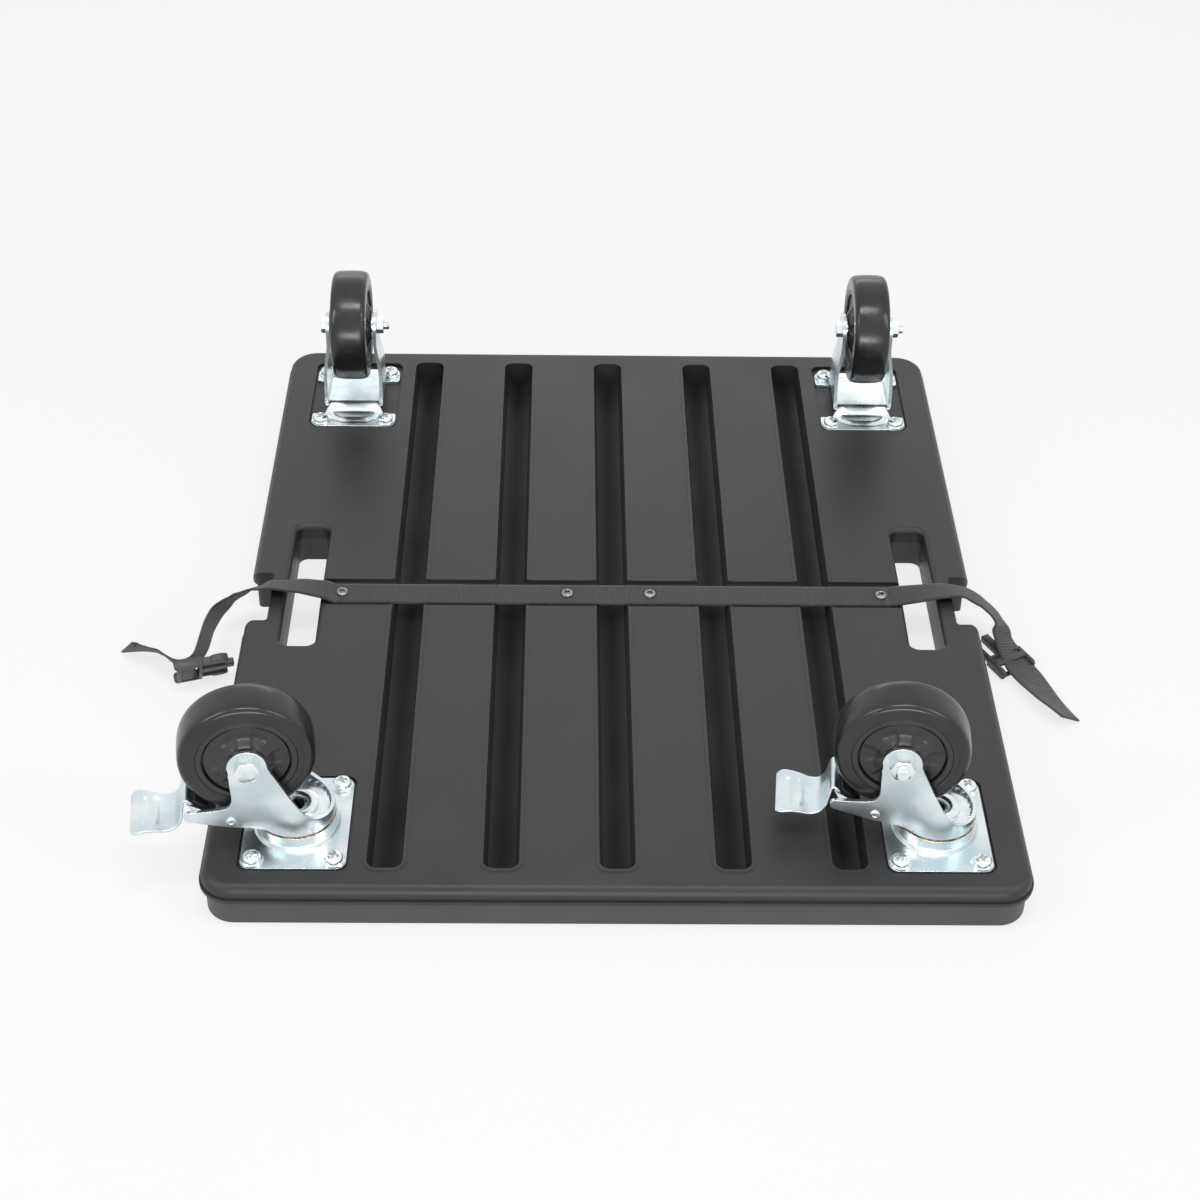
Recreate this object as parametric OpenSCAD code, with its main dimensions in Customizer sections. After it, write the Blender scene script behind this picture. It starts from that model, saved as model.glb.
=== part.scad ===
// Caster platform, shown turned over: the load face lies on the floor at z = 0, the wheels stand up.
// X runs across the platform, Y along it from the swivel end (-Y) to the rigid end (+Y).

/* [Platform] */
// Width over the lip
deck_w = 615; // [560:5:700]
// Length over the lip
deck_l = 730; // [700:5:860]
// Height of the moulding, load face to underside
deck_t = 38; // [36:1:46]
// Height of the load tray, up to the parting line
tray_h = 24; // [20:1:26]
// Inset of the load tray behind the lip
tray_inset = 4; // [2:1:8]
// Corner radius in plan
deck_corner = 26; // [20:1:40]
// Rounding of the underside edge
edge_r = 8; // [4:1:9]
// Height of the lip at the parting line
lip_h = 3; // [2:0.5:4]
// Step between the lip and the side wall
lip_step = 1.5; // [0.5:0.5:3]
// Wall of both mouldings
wall = 4; // [3:0.5:5]

/* [Channels] */
// Number of long channels
channel_n = 5; // [3:2:5]
// Distance of the outer channels from the platform's sides
channel_side = 136.1; // [130:0.1:150]
// Width of a channel at the surface
channel_w = 26.6; // [20:0.1:30]
// Distance of the channels' ends from the platform's ends
channel_end = 23.5; // [20:0.5:60]
// Depth of a channel at its crease
channel_d = 25; // [18:1:27]
// Depth where the side walls meet the crease faces
channel_wall_d = 18; // [10:1:20]

/* [Handles and strap way] */
// Distance of the hand slots from the platform's sides
slot_side = 47.5; // [44:0.5:52]
// Width of a hand slot
slot_w = 29; // [24:1:34]
// Length of a hand slot
slot_l = 162; // [120:1:200]
// Shift of the slots towards the swivel end
slot_shift = 4; // [0:1:10]
// Depth of the edge notches, in from the lip
notch_d = 20; // [14:1:24]
// Length of an edge notch
notch_l = 64; // [50:1:80]
// Shift of the notches towards the swivel end
notch_shift = 23; // [10:1:30]
// Width of the strap groove
groove_w = 35; // [30:1:40]
// Depth of the strap groove
groove_d = 3; // [2.5:0.5:4.5]
// Shift of the strap towards the swivel end
strap_shift = 16; // [12:1:20]
// Width of the webbing
web_w = 25; // [20:1:26]
// Thickness of the webbing
web_t = 1.6; // [1.2:0.1:2]
// Radius of the heads of the strap screws
strap_head_r = 5.2; // [4.5:0.1:6.5]

/* [Casters] */
// Distance of the casters from the platform's sides
caster_side = 69; // [67:0.5:72]
// Distance of the swivel axes from the platform's near end
swivel_end = 71; // [68:1:80]
// Distance of the rigid axles from the platform's far end
rigid_end = 84; // [81:1:90]
// Width of a caster plate
plate_w = 78; // [76:1:80]
// Length of a caster plate
plate_l = 97; // [95:1:100]
// Thickness of a caster plate
plate_t = 3; // [2.5:0.5:4]
// Distance of the plate screws from a plate's sides
bolt_side = 9; // [8.5:0.5:10]
// Distance of the plate screws from a plate's ends
bolt_end = 8.5; // [8.5:0.5:10]
// Room round a plate in its pocket
pocket_gap = 2; // [1:0.5:3]
// Offset of the wheel behind the swivel axis
trail = 32; // [28:1:36]
// Height of the axles above the underside
axle_z = 79.5; // [78:0.5:84]
// Angle of the left fork, seen from above
fork_turn_left = 7.7; // [-20:0.1:20]
// Angle of the right fork, seen from above
fork_turn_right = -5.4; // [-20:0.1:20]
// Thickness of the fork and bracket sheet
sheet = 3; // [2.5:0.5:3.5]
// Gap between the fork legs
leg_gap = 39; // [38:0.5:42]
// Radius of the leg ends round the axle
leg_r = 14.5; // [13:0.5:17]

/* [Wheels] */
// Wheel diameter
wheel_d = 100; // [94:1:101]
// Wheel width
wheel_w = 32; // [28:1:34]
// Rounding of the tread shoulders
shoulder_r = 5; // [4:0.5:8]
// Radius of the seam between tyre and hub
seam_r = 36.6; // [35:0.1:39]
// Radius of the dished hub face
dish_r = 32; // [28:0.5:33]
// Radius of the hub boss
boss_r = 13.5; // [11:0.5:16]
// Number of petals on a hub face
petal_n = 6; // [5:1:7]
// Radius of the axle bolts
axle_r = 5; // [4.5:0.5:5]

/* [Hidden] */
$fn = 48;
eps = 0.5;            // how far a cut runs past the face it opens
run_fit = 0.05;       // radial room of a pin or bore that turns
air = 0.3;            // gap between faces that slide past each other
charcoal = [0.30, 0.30, 0.31];
black = [0.10, 0.10, 0.11];
zinc = [0.80, 0.84, 0.86];
webbing = [0.25, 0.25, 0.26];

// places that follow from the platform's size
channel_pitch = 2 * (deck_w / 2 - channel_side) / (channel_n - 1);
channel_l = deck_l - 2 * channel_end;
slot_x = deck_w / 2 - slot_side;
caster_x = deck_w / 2 - caster_side;
swivel_y = deck_l / 2 - swivel_end;
rigid_y = deck_l / 2 - rigid_end;
bolt_x = plate_w - 2 * bolt_side;
bolt_y = plate_l - 2 * bolt_end;

// platform
sheet_t = wall + groove_d;             // underside sheet, deep enough for the groove
channel_wall = 3;
channel_foot_w = 21;
channel_end_r = 8;
insert_r = 6;
insert_l = 16;
boss_wall = 3;
screw_r = 4;
washer_r = 8.5;
washer_t = 1.6;
head_r = 7;
head_h = 4.6;
screw_l = 14;
hole_r = 4.5;
plate_corner = 8;
slot_corner = 8;
notch_corner = 3;
notch_mouth_r = 9;
strap_hole_r = 1.8;
strap_screw_x = [32 - slot_x, -38, 32, slot_x - 32];
strap_head_h = 3;
strap_shank_r = 1.7;
strap_shank_l = 9;
rigid_pocket_l = plate_l + 12;         // the rigid pockets run on behind the plate
rigid_pocket_shift = 5;
strap_z = deck_t - groove_d;           // floor of the strap groove
strap_mid_z = strap_z + web_t / 2;
strap_end_x = slot_x - 26;             // where the held strap ends and a free tail starts

// swivel head, heights above the underside
cup_r = 30;
cup_wall = 3;
cup_h = 11.5;
cup_foot_r = 32.5;
cup_foot_h = 3.5;
cup_floor_z = 9;
cup_floor_t = 3;
ball_r = 2.45;
ball_ring_r = 23.6;
ball_n = 18;
head_floor_z = 14;
head_wall_r = 29;
head_lean = 20;                        // angle at which a leg's wall leaves the round head
head_skirt_z = 12.8;
kingpin_r = 8;
kingpin_head_r = 17;
kingpin_dish_r = 11;
kingpin_bore_r = 6;
ring_r = 25;
ring_in_r = kingpin_r;
ring_t = 1.8;
ring_teeth = 30;
ring_tooth_d = 1.4;
ring_z = head_floor_z + sheet + air;
kingpin_head_z = ring_z + ring_t;
kingpin_head_h = 2.6;
leg_y = leg_gap / 2;
rim_z = 22;                            // top of the low wall behind the wheel
tail_x = 76.5;
tail_top_z = 39.5;
tail_r = 4.5;
axle_head_r = 9.6;
neck_x = trail - axle_head_r;          // where the fork has narrowed to its legs
axle_head_h = 1.28;                    // height of a bolt head, per millimetre of bolt radius
axle_nut_h = 1.6;                      // height of a nut, likewise
axle_end = 5;
rear_axle_r = 4;                       // the rigid casters have thinner bolts
rear_head_r = 7.5;
sleeve_r = 7.6;
bearing_r = 11;
bearing_w = 7;
boss_half = leg_y - 1;                 // half the length of a wheel's boss
hub_inset = 0.5;                       // hub's rim behind the tyre's side
dish_d = 2;                            // hub's disc behind its rim
hub_groove_w = 1.2;                    // narrow groove round the disc
hub_groove_d = 5;
petal_r = 7.4;                         // sunk petals of the disc
petal_tip_r = 3.4;
petal_d = 1.2;

// brake, heights above the underside
pin_x = 47.4;
pin_z = 28;
pin_r = 3;
pin_head_r = 3.8;
pin_head_h = 1.4;
pedal_t = 2;
pedal_half_w = 23;                     // half width at the outer end of the tab
pedal_tab_half_w = 18.5;               // where the tab leaves the neck
pedal_neck_half_w = 16.6;
pedal_corner = 7;
pedal_tab_from = 83;
pedal_tab_to = 121;
ear_in = 16.6;
ear_out = leg_y - air;
ear_r = 6.5;
pedal_path = [[58, 27.5], [64, 30], [71, 36], [77, 45.5], [80.5, 45], [82, 38], [83.5, 30.5],
    [86.5, 25], [90.5, 22.3], [96, 21.7], [103, 23.6], [110, 24.7], [116, 24.2], [120.5, 22.2]];
shoe_gap = 3.6;
shoe_t = 7;
shoe_half_w = 14;
shoe_from = 35;
shoe_to = 49;

// rigid bracket
flange_l = 23;
leg_foot_y = 25;
leg_splay = 3;
leg_foot_x = 27;                       // outer face of a leg at its foot
web_rise = 7;
web_low_y = plate_l / 2 - 18;          // where the web starts to rise
web_high_y = plate_l / 2 - 25.5;       // where it is flat again

// routes of the free strap tails, from where the held strap ends: x, y, height above the floor
// of the middle of the webbing, and its tilt in degrees
left_route = [[0, 0, 35.8, 0], [-8, 0, 39.5, -2], [-17, 0, 41.5, -7], [-27, 0.5, 43, -11],
    [-37, 0.5, 43.5, -16], [-46.5, 1, 43.5, -21], [-55.5, 1.5, 43.5, -22], [-63.5, 1.5, 41, -29],
    [-71, 2, 38.5, -34], [-78, 1.5, 35, -40], [-84.5, 0.5, 31.5, -48], [-90.5, -2.5, 28, -59],
    [-96, -6.5, 24.5, -71], [-100.5, -12.5, 22, -83], [-103.5, -20, 20, -89], [-105, -29, 19, -93],
    [-106, -39, 19, -94], [-107.5, -49, 18.5, -90], [-110, -59, 17, -83], [-115, -71, 16.5, -70],
    [-122, -73.5, 16, -65], [-129, -67, 15, -60], [-136.5, -58, 14.5, -55], [-143.5, -52, 13, -50],
    [-150, -47, 12, -48], [-157.5, -44, 11.5, -51], [-164.5, -44, 11.5, -52], [-171, -46.5, 14, -54]];
right_route = [[0, 0, 35.8, 0], [8, 0, 37, 0], [17, 0, 38.5, 2], [27, 0, 40, 5], [37, 0.5, 41.5, 8],
    [47, 1, 42, 11], [56, 1, 42, 15], [64, 0.5, 41, 18], [71, -1.5, 38.5, 20], [78, -5, 35.5, 25],
    [84.5, -9, 32, 30], [90.5, -14.5, 28, 36], [94.5, -20, 22, 40], [96, -27, 16, 35],
    [99, -35.5, 12, 24], [103, -46, 9.5, 13], [107.5, -58, 7.5, 6], [113, -70, 7, 6],
    [118.5, -83, 7, 14], [124, -96.5, 7.5, 22], [131, -110, 8, 30], [138.5, -123, 8, 34]];
left_plug_at = [-106, -75.5, 16.8];    // from where the held strap ends, as the routes are
left_plug_turn = 17;
left_plug_lean = 59;
right_plug_at = [96, -42, 6.5];
right_plug_turn = 118;
right_plug_lean = 0;
buckle_w = 33;
buckle_t = 9;
plug_base_l = 21.5;
plug_plate_t = 3;
plug_collar_l = 2.7;
plug_bars = [-9, -17.5];               // middle and end bar of the base
plug_bar_l = 4;
plug_bar_t = 3;
plug_arm_l = 23;
plug_arm_t = 2.6;
plug_pad_from = 11;
plug_pad_out = 3;
plug_guide_l = 28;
plug_guide_w = 7;
plug_guide_t = 6;

function rigid_side(s) = [s * caster_x, rigid_y, deck_t];
function swivel_side(s) = [s * caster_x, -swivel_y, deck_t];
function fork_turn(s) = s < 0 ? fork_turn_left : fork_turn_right;
function channel_x(i) = (i - (channel_n - 1) / 2) * channel_pitch;

// a rectangle with round corners, centred
module round_rect(w, l, r) {
    square([w - 2 * r, l], center = true);
    square([w, l - 2 * r], center = true);
    for (x = [-1, 1], y = [-1, 1])
        translate([x * (w / 2 - r), y * (l / 2 - r)])
            circle(r);
}

module round_block(w, l, h, r) {
    linear_extrude(height = h)
        round_rect(w, l, r);
}

// the outline of one side of a slab: half a width, a height and a rounded upper edge
module rounded_edge(half, h, r) {
    square([half, h - r]);
    square([half - r, h]);
    intersection() {
        square([half, h]);
        translate([half - r, h - r])
            circle(r);
    }
}

// a slab with round corners in plan and a rounded upper edge all round
module rounded_slab(w, l, h, corner, edge) {
    for (x = [-1, 1], y = [-1, 1])
        translate([x * (w / 2 - corner), y * (l / 2 - corner), 0])
            rotate_extrude()
                rounded_edge(corner, h, edge);
    for (turn = [0, 90]) {
        across = turn == 0 ? w : l;
        along = turn == 0 ? l : w;
        rotate([0, 0, turn])
            rotate([90, 0, 0])
                translate([0, 0, corner - along / 2])
                    linear_extrude(height = along - 2 * corner)
                        for (m = [0, 1])
                            mirror([m, 0])
                                rounded_edge(across / 2, h, edge);
    }
}

// the section of a channel below the surface, widened by t all round
module channel_section(t) {
    half_top = channel_w / 2 + t;
    half_foot = channel_foot_w / 2 + t;
    polygon([[-half_top, eps], [half_top, eps], [half_top, 0], [half_foot, -channel_wall_d],
        [0, -channel_d - t], [-half_foot, -channel_wall_d], [-half_top, 0]]);
}

module channel_form(t) {
    for (i = [0 : channel_n - 1])
        translate([channel_x(i), 0, deck_t])
            intersection() {
                rotate([90, 0, 0])
                    linear_extrude(height = channel_l + 2 * t, center = true)
                        channel_section(t);
                translate([0, 0, -deck_t])
                    round_block(channel_w + 2 * t, channel_l + 2 * t, deck_t + eps, channel_end_r + t);
            }
}

module slot_form(t, from, to) {
    for (s = [-1, 1])
        translate([s * slot_x, -slot_shift, from])
            round_block(slot_w + 2 * t, slot_l + 2 * t, to - from, slot_corner + t);
}

// plan of one edge notch: round corners at the lip, small ones inside
module notch_plan(t) {
    depth = notch_d + t;
    half = notch_l / 2 + t;
    mouth_r = notch_mouth_r - t;
    difference() {
        union() {
            round_rect(2 * depth, 2 * half, notch_corner);
            translate([-mouth_r, -half - mouth_r])
                square([2 * mouth_r, 2 * (half + mouth_r)]);
        }
        for (x = [-1, 1], y = [-1, 1])
            translate([x * mouth_r, y * (half + mouth_r)])
                circle(mouth_r);
    }
}

module notch_form(t, from, to) {
    for (s = [-1, 1])
        translate([s * deck_w / 2, -notch_shift, from])
            linear_extrude(height = to - from)
                notch_plan(t);
}

module at_bolts() {
    for (s = [-1, 1], at = [swivel_side(s), rigid_side(s)], x = [-1, 1], y = [-1, 1])
        translate(at + [x * bolt_x / 2, y * bolt_y / 2, 0])
            children();
}

module pocket_forms() {
    for (s = [-1, 1]) {
        translate(swivel_side(s) - [0, 0, plate_t])
            round_block(plate_w + 2 * pocket_gap, plate_l + 2 * pocket_gap, deck_t, plate_corner);
        translate(rigid_side(s) + [0, rigid_pocket_shift, -plate_t])
            round_block(plate_w + 2 * pocket_gap, rigid_pocket_l, deck_t, plate_corner);
    }
}

module boss_forms(r, from, to) {
    at_bolts()
        translate([0, 0, from - deck_t])
            cylinder(r = r, h = to - from);
}

// upper moulding: flat underside with channels, pockets, the strap groove and the lip
module underside_shell() {
    color(charcoal)
    difference() {
        union() {
            difference() {
                union() {
                    translate([0, 0, tray_h])
                        round_block(deck_w, deck_l, lip_h, deck_corner);
                    translate([0, 0, tray_h])
                        rounded_slab(deck_w - 2 * lip_step, deck_l - 2 * lip_step, deck_t - tray_h,
                            deck_corner - lip_step, edge_r);
                }
                translate([0, 0, tray_h - eps])
                    round_block(deck_w - 2 * wall - 2 * lip_step, deck_l - 2 * wall - 2 * lip_step,
                        deck_t - tray_h - sheet_t + eps, deck_corner - wall);
            }
            channel_form(channel_wall);
            slot_form(wall, tray_h, deck_t - wall);
            intersection() {
                notch_form(wall, tray_h, deck_t - wall);
                translate([0, 0, tray_h])
                    round_block(deck_w - 2 * wall, deck_l - 2 * wall, deck_t, deck_corner);
            }
            boss_forms(insert_r + boss_wall, wall, deck_t - plate_t);
        }
        channel_form(0);
        translate([0, 0, eps])
            channel_form(0);
        slot_form(0, -eps, deck_t + eps);
        notch_form(0, -eps, deck_t + eps);
        pocket_forms();
        boss_forms(insert_r, deck_t - plate_t - insert_l, deck_t);
        translate([0, -strap_shift, strap_z + deck_t / 2])
            cube([2 * slot_x, groove_w, deck_t], center = true);
        for (x = strap_screw_x)
            translate([x, -strap_shift, strap_z - strap_shank_l])
                cylinder(r = strap_hole_r, h = strap_shank_l + eps);
    }
}

// lower moulding: the pan whose floor is the load face
module deck_tray() {
    tray_w = deck_w - 2 * tray_inset;
    tray_l = deck_l - 2 * tray_inset;
    color(charcoal)
    difference() {
        union() {
            difference() {
                round_block(tray_w, tray_l, tray_h, deck_corner - tray_inset);
                translate([0, 0, wall])
                    round_block(tray_w - 2 * wall, tray_l - 2 * wall, tray_h,
                        deck_corner - tray_inset - wall);
            }
            slot_form(wall, 0, tray_h);
            intersection() {
                notch_form(wall, 0, tray_h);
                round_block(tray_w, tray_l, tray_h, deck_corner - tray_inset);
            }
        }
        slot_form(0, -eps, tray_h + eps);
        notch_form(0, -eps, tray_h + eps);
    }
}

// threaded metal inserts in the bosses of the upper moulding
module caster_inserts() {
    color(zinc)
    at_bolts()
        translate([0, 0, -plate_t - insert_l])
            difference() {
                cylinder(r = insert_r, h = insert_l);
                translate([0, 0, -eps])
                    cylinder(r = screw_r + run_fit, h = insert_l + 2 * eps);
            }
}

// a cross recess for a screwdriver
module cross_recess(size, depth) {
    for (turn = [0, 90])
        rotate([0, 0, turn])
            translate([-size / 2, -size / 10, -depth])
                cube([size, size / 5, depth + eps]);
}

module caster_screws() {
    color(zinc)
    at_bolts()
        translate([0, 0, washer_t])
            difference() {
                union() {
                    cylinder(r = head_r, h = head_h / 2);
                    translate([0, 0, head_h / 2])
                        cylinder(r1 = head_r, r2 = head_r * 0.6, h = head_h / 2);
                    translate([0, 0, -screw_l - washer_t - plate_t])
                        cylinder(r = screw_r, h = screw_l + washer_t + plate_t);
                }
                translate([0, 0, head_h])
                    cross_recess(head_r, head_h / 2);
            }
}

module caster_washers() {
    color(zinc)
    at_bolts()
        difference() {
            cylinder(r = washer_r, h = washer_t);
            translate([0, 0, -eps])
                cylinder(r = screw_r + run_fit, h = washer_t + 2 * eps);
        }
}

// the held run of the strap: flat in its groove, across both hand slots
module strap_webbing() {
    color(webbing)
    difference() {
        translate([-strap_end_x, -strap_shift - web_w / 2, strap_z])
            cube([2 * strap_end_x, web_w, web_t]);
        for (x = strap_screw_x)
            translate([x, -strap_shift, strap_z - eps])
                cylinder(r = strap_shank_r, h = web_t + 2 * eps);
    }
}

module strap_screws() {
    color(black)
    for (x = strap_screw_x)
        translate([x, -strap_shift, strap_z + web_t])
            difference() {
                union() {
                    cylinder(r = strap_head_r, h = strap_head_h);
                    translate([0, 0, -strap_shank_l - web_t + eps])
                        cylinder(r = strap_shank_r, h = strap_shank_l + web_t);
                }
                translate([0, 0, strap_head_h - strap_head_h / 2])
                    cylinder(r = strap_head_r / 2, h = strap_head_h, $fn = 6);
            }
}

// the corners of the webbing where it passes one point of its route
function heading(route, i) =
    let (a = route[max(i - 1, 0)], b = route[min(i + 1, len(route) - 1)],
        d = [b[0] - a[0], b[1] - a[1], b[2] - a[2]])
    d / norm(d);
function across(route, i) =
    let (h = heading(route, i), flat = [h[1], -h[0], 0] / norm([h[0], h[1]]),
        up = cross(flat, h), tilt = route[i][3])
    flat * cos(tilt) + up * sin(tilt);
function web_ring(route, i) =
    let (w = across(route, i), n = cross(w, heading(route, i)),
        p = [route[i][0], route[i][1], route[i][2]])
    [for (k = [[-1, -1], [0, -1], [1, -1], [1, 0], [1, 1], [0, 1], [-1, 1], [-1, 0]])
        p + w * (k[0] * web_w / 2) + n * (k[1] * web_t / 2)];
module web_sweep(route) {
    sides = 8;
    last = len(route) - 1;
    points = [for (i = [0 : last]) each web_ring(route, i)];
    skin = [for (i = [0 : last - 1], k = [0 : sides - 1])
        let (a = i * sides + k, b = i * sides + (k + 1) % sides)
        each [[a, b, b + sides], [a, b + sides, a + sides]]];
    start_cap = [for (k = [2 : sides - 1]) [1, (k + 1) % sides, k]];
    end_cap = [for (f = start_cap) [for (k = [0, 2, 1]) last * sides + f[k]]];
    polyhedron(points, concat(skin, start_cap, end_cap));
}

module at_strap_end(s) {
    translate([s * strap_end_x, -strap_shift, 0])
        children();
}

module strap_tail_left() {
    color(webbing)
        at_strap_end(-1)
            web_sweep(left_route);
}

module strap_tail_right() {
    color(webbing)
        at_strap_end(1)
            web_sweep(right_route);
}

// outline of the finger pad on a plug's arm, seen from above
module pad_outline() {
    polygon([[plug_pad_from, 0], [plug_pad_from + 2, plug_pad_out], [plug_arm_l - 5, plug_pad_out],
        [plug_arm_l, 0]]);
}

// male half of a side-release buckle: x along its prongs, its collar at the origin
module plug_form() {
    half_w = buckle_w / 2;
    for (m = [0, 1])
        mirror([0, m, 0]) {
            translate([0, half_w, 0])
                rotate([90, 0, 0])
                    linear_extrude(height = plug_plate_t) {
                        translate([buckle_t / 2 - plug_base_l, 0])
                            circle(buckle_t / 2);
                        translate([buckle_t / 2 - plug_base_l, -buckle_t / 2])
                            square([plug_base_l - buckle_t / 2, buckle_t]);
                    }
            translate([0, 0, -buckle_t * 0.4])
                linear_extrude(height = buckle_t * 0.8) {
                    translate([0, half_w - plug_plate_t - plug_arm_t / 2])
                        square([plug_arm_l, plug_arm_t]);
                    translate([0, half_w - plug_plate_t + plug_arm_t / 2 - eps])
                        pad_outline();
                }
        }
    cube([plug_collar_l, buckle_w, buckle_t], center = true);
    for (x = plug_bars)
        translate([x, 0, buckle_t / 2 - plug_bar_t / 2])
            cube([plug_bar_l, buckle_w - plug_plate_t, plug_bar_t], center = true);
    translate([0, -plug_guide_w / 2, -plug_guide_t / 2])
        cube([plug_guide_l, plug_guide_w, plug_guide_t]);
}

module buckle_plug_left() {
    color(black)
    at_strap_end(-1)
    translate(left_plug_at)
        rotate([0, 0, left_plug_turn])
            rotate([-left_plug_lean, 0, 0])
                plug_form();
}

module buckle_plug_right() {
    color(black)
    at_strap_end(1)
    translate(right_plug_at)
        rotate([0, 0, right_plug_turn])
            rotate([-right_plug_lean, 0, 0])
                plug_form();
}

// pressed top plate with its raised ball cup
module swivel_plate(s) {
    color(zinc)
    translate(swivel_side(s))
        difference() {
            union() {
                translate([0, 0, -plate_t])
                    round_block(plate_w, plate_l, plate_t, plate_corner);
                cylinder(r1 = cup_foot_r, r2 = cup_r + 0.6, h = cup_foot_h);
                cylinder(r = cup_r, h = cup_h);
            }
            translate([0, 0, cup_floor_z])
                cylinder(r = cup_r - cup_wall, h = cup_h);
            translate([0, 0, -plate_t - eps])
                cylinder(r = cup_r - cup_wall, h = cup_floor_z - cup_floor_t + plate_t + eps);
            cylinder(r = kingpin_r, h = 2 * cup_h);
            for (x = [-1, 1], y = [-1, 1])
                translate([x * bolt_x / 2, y * bolt_y / 2, -plate_t - eps])
                    cylinder(r = hole_r, h = plate_t + 2 * eps);
        }
}

// hollow kingpin, riveted below the cup and flared above the lock ring
module kingpin(s) {
    foot_z = cup_floor_z - cup_floor_t - kingpin_head_h;
    color(zinc)
    translate(swivel_side(s))
        difference() {
            union() {
                translate([0, 0, foot_z])
                    cylinder(r = kingpin_head_r - 4, h = kingpin_head_h);
                translate([0, 0, foot_z])
                    cylinder(r = kingpin_r, h = kingpin_head_z - foot_z + eps);
                translate([0, 0, kingpin_head_z])
                    cylinder(r = kingpin_head_r, h = kingpin_head_h);
            }
            translate([0, 0, kingpin_head_z + kingpin_head_h - 2])
                cylinder(r1 = kingpin_dish_r - 2, r2 = kingpin_dish_r, h = 2 + eps);
            translate([0, 0, foot_z - eps])
                cylinder(r = kingpin_bore_r, h = kingpin_head_z + kingpin_head_h);
        }
}

// toothed ring that the brake locks the swivel with
module lock_ring(s) {
    color(zinc)
    translate(swivel_side(s) + [0, 0, ring_z])
        difference() {
            cylinder(r = ring_r, h = ring_t);
            translate([0, 0, -eps])
                cylinder(r = ring_in_r, h = ring_t + 2 * eps);
            for (i = [0 : ring_teeth - 1])
                rotate([0, 0, i * 360 / ring_teeth])
                    translate([ring_r, 0, -eps])
                        cylinder(r = ring_tooth_d, h = ring_t + 2 * eps);
        }
}

module swivel_balls(s) {
    color(zinc)
    translate(swivel_side(s) + [0, 0, (cup_floor_z + head_floor_z) / 2])
        for (i = [0 : ball_n - 1])
            rotate([0, 0, i * 360 / ball_n])
                translate([ball_ring_r, 0, 0])
                    sphere(ball_r);
}

// a fork's own axes: x points from the swivel axis to the wheel
module in_fork(s) {
    translate(swivel_side(s))
        rotate([0, 0, 180 + fork_turn(s)])
            children();
}

// plan of the fork's wall, outside at t = 0 and inside at t = sheet
module fork_plan(t) {
    r = head_wall_r - t;
    half = leg_y + sheet - t;
    circle(r);
    polygon([[r * sin(head_lean), r * cos(head_lean)], [neck_x, half], [tail_x + 2 * tail_r, half],
        [tail_x + 2 * tail_r, -half], [neck_x, -half], [r * sin(head_lean), -r * cos(head_lean)]]);
}

// side view of the fork: low rim, sloping front edge, round top and tail
module fork_side() {
    left = -head_wall_r - eps;
    union() {
        polygon([[left, head_skirt_z], [left, rim_z], [-25, rim_z], [-19, 23.4], [-13, 26],
            [-8.5, 29.6], [-4.5, 33.4], [5.2, 50.6], [trail - leg_r, axle_z - 1], [trail, axle_z], [trail + leg_r, axle_z],
            [trail + leg_r - 1, 48], [trail + leg_r + 1.5, 43.2], [trail + leg_r + 6, 40.6],
            [62, tail_top_z], [tail_x, tail_top_z], [tail_x, tail_top_z - 2 * tail_r], [63, 26.5],
            [50, 22.5], [37, 20.4], [22.5, 18], [12, head_skirt_z]]);
        translate([trail, axle_z])
            circle(leg_r);
        translate([tail_x, tail_top_z - tail_r])
            circle(tail_r);
    }
}

module across_fork(half) {
    rotate([90, 0, 0])
        translate([0, 0, -half])
            linear_extrude(height = 2 * half)
                children();
}

// the pressed fork: a round head with a floor, and two legs with brake tails
module fork(s) {
    color(zinc)
    in_fork(s)
        difference() {
            union() {
                intersection() {
                    linear_extrude(height = axle_z + leg_r + eps)
                        difference() {
                            fork_plan(0);
                            fork_plan(sheet);
                            translate([tail_x - eps, -leg_y])
                                square([4 * tail_r, 2 * leg_y]);
                        }
                    across_fork(head_wall_r + eps)
                        fork_side();
                }
                translate([0, 0, head_floor_z])
                    cylinder(r = head_wall_r - eps, h = sheet);
            }
            cylinder(r = kingpin_r + run_fit, h = rim_z);
            translate([trail, 0, axle_z])
                rotate([90, 0, 0])
                    cylinder(r = axle_r, h = 4 * leg_y, center = true);
            translate([pin_x, 0, pin_z])
                rotate([90, 0, 0])
                    cylinder(r = pin_r, h = 4 * leg_y, center = true);
        }
}

// an axle bolt along y, head at -y, with its middle at the origin
module axle_bolt(half_span, r, head_r) {
    rotate([90, 0, 0]) {
        translate([0, 0, half_span])
            cylinder(r = head_r, h = r * axle_head_h, $fn = 6);
        translate([0, 0, -half_span - r * axle_nut_h - axle_end])
            cylinder(r = r, h = 2 * half_span + r * axle_nut_h + axle_end + eps);
    }
}

module axle_nut(half_span, r, head_r) {
    rotate([90, 0, 0])
        translate([0, 0, -half_span - r * axle_nut_h])
            difference() {
                cylinder(r = head_r, h = r * axle_nut_h, $fn = 6);
                translate([0, 0, -eps])
                    cylinder(r = r, h = r * axle_nut_h + 2 * eps);
            }
}

module axle_sleeve(half, r) {
    rotate([90, 0, 0])
        difference() {
            cylinder(r = sleeve_r, h = 2 * half, center = true);
            cylinder(r = r, h = 2 * half + 2 * eps, center = true);
        }
}

// the left bolt has its head towards -y, the right one its nut
module at_fork_axle(s) {
    in_fork(s)
        translate([trail, 0, axle_z])
            rotate([0, 0, s < 0 ? 180 : 0])
                children();
}

module fork_axle(s) {
    color(zinc)
    at_fork_axle(s)
        axle_bolt(leg_y + sheet, axle_r, axle_head_r);
}

module fork_axle_nut(s) {
    color(zinc)
    at_fork_axle(s)
        axle_nut(leg_y + sheet, axle_r, axle_head_r);
}

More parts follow.
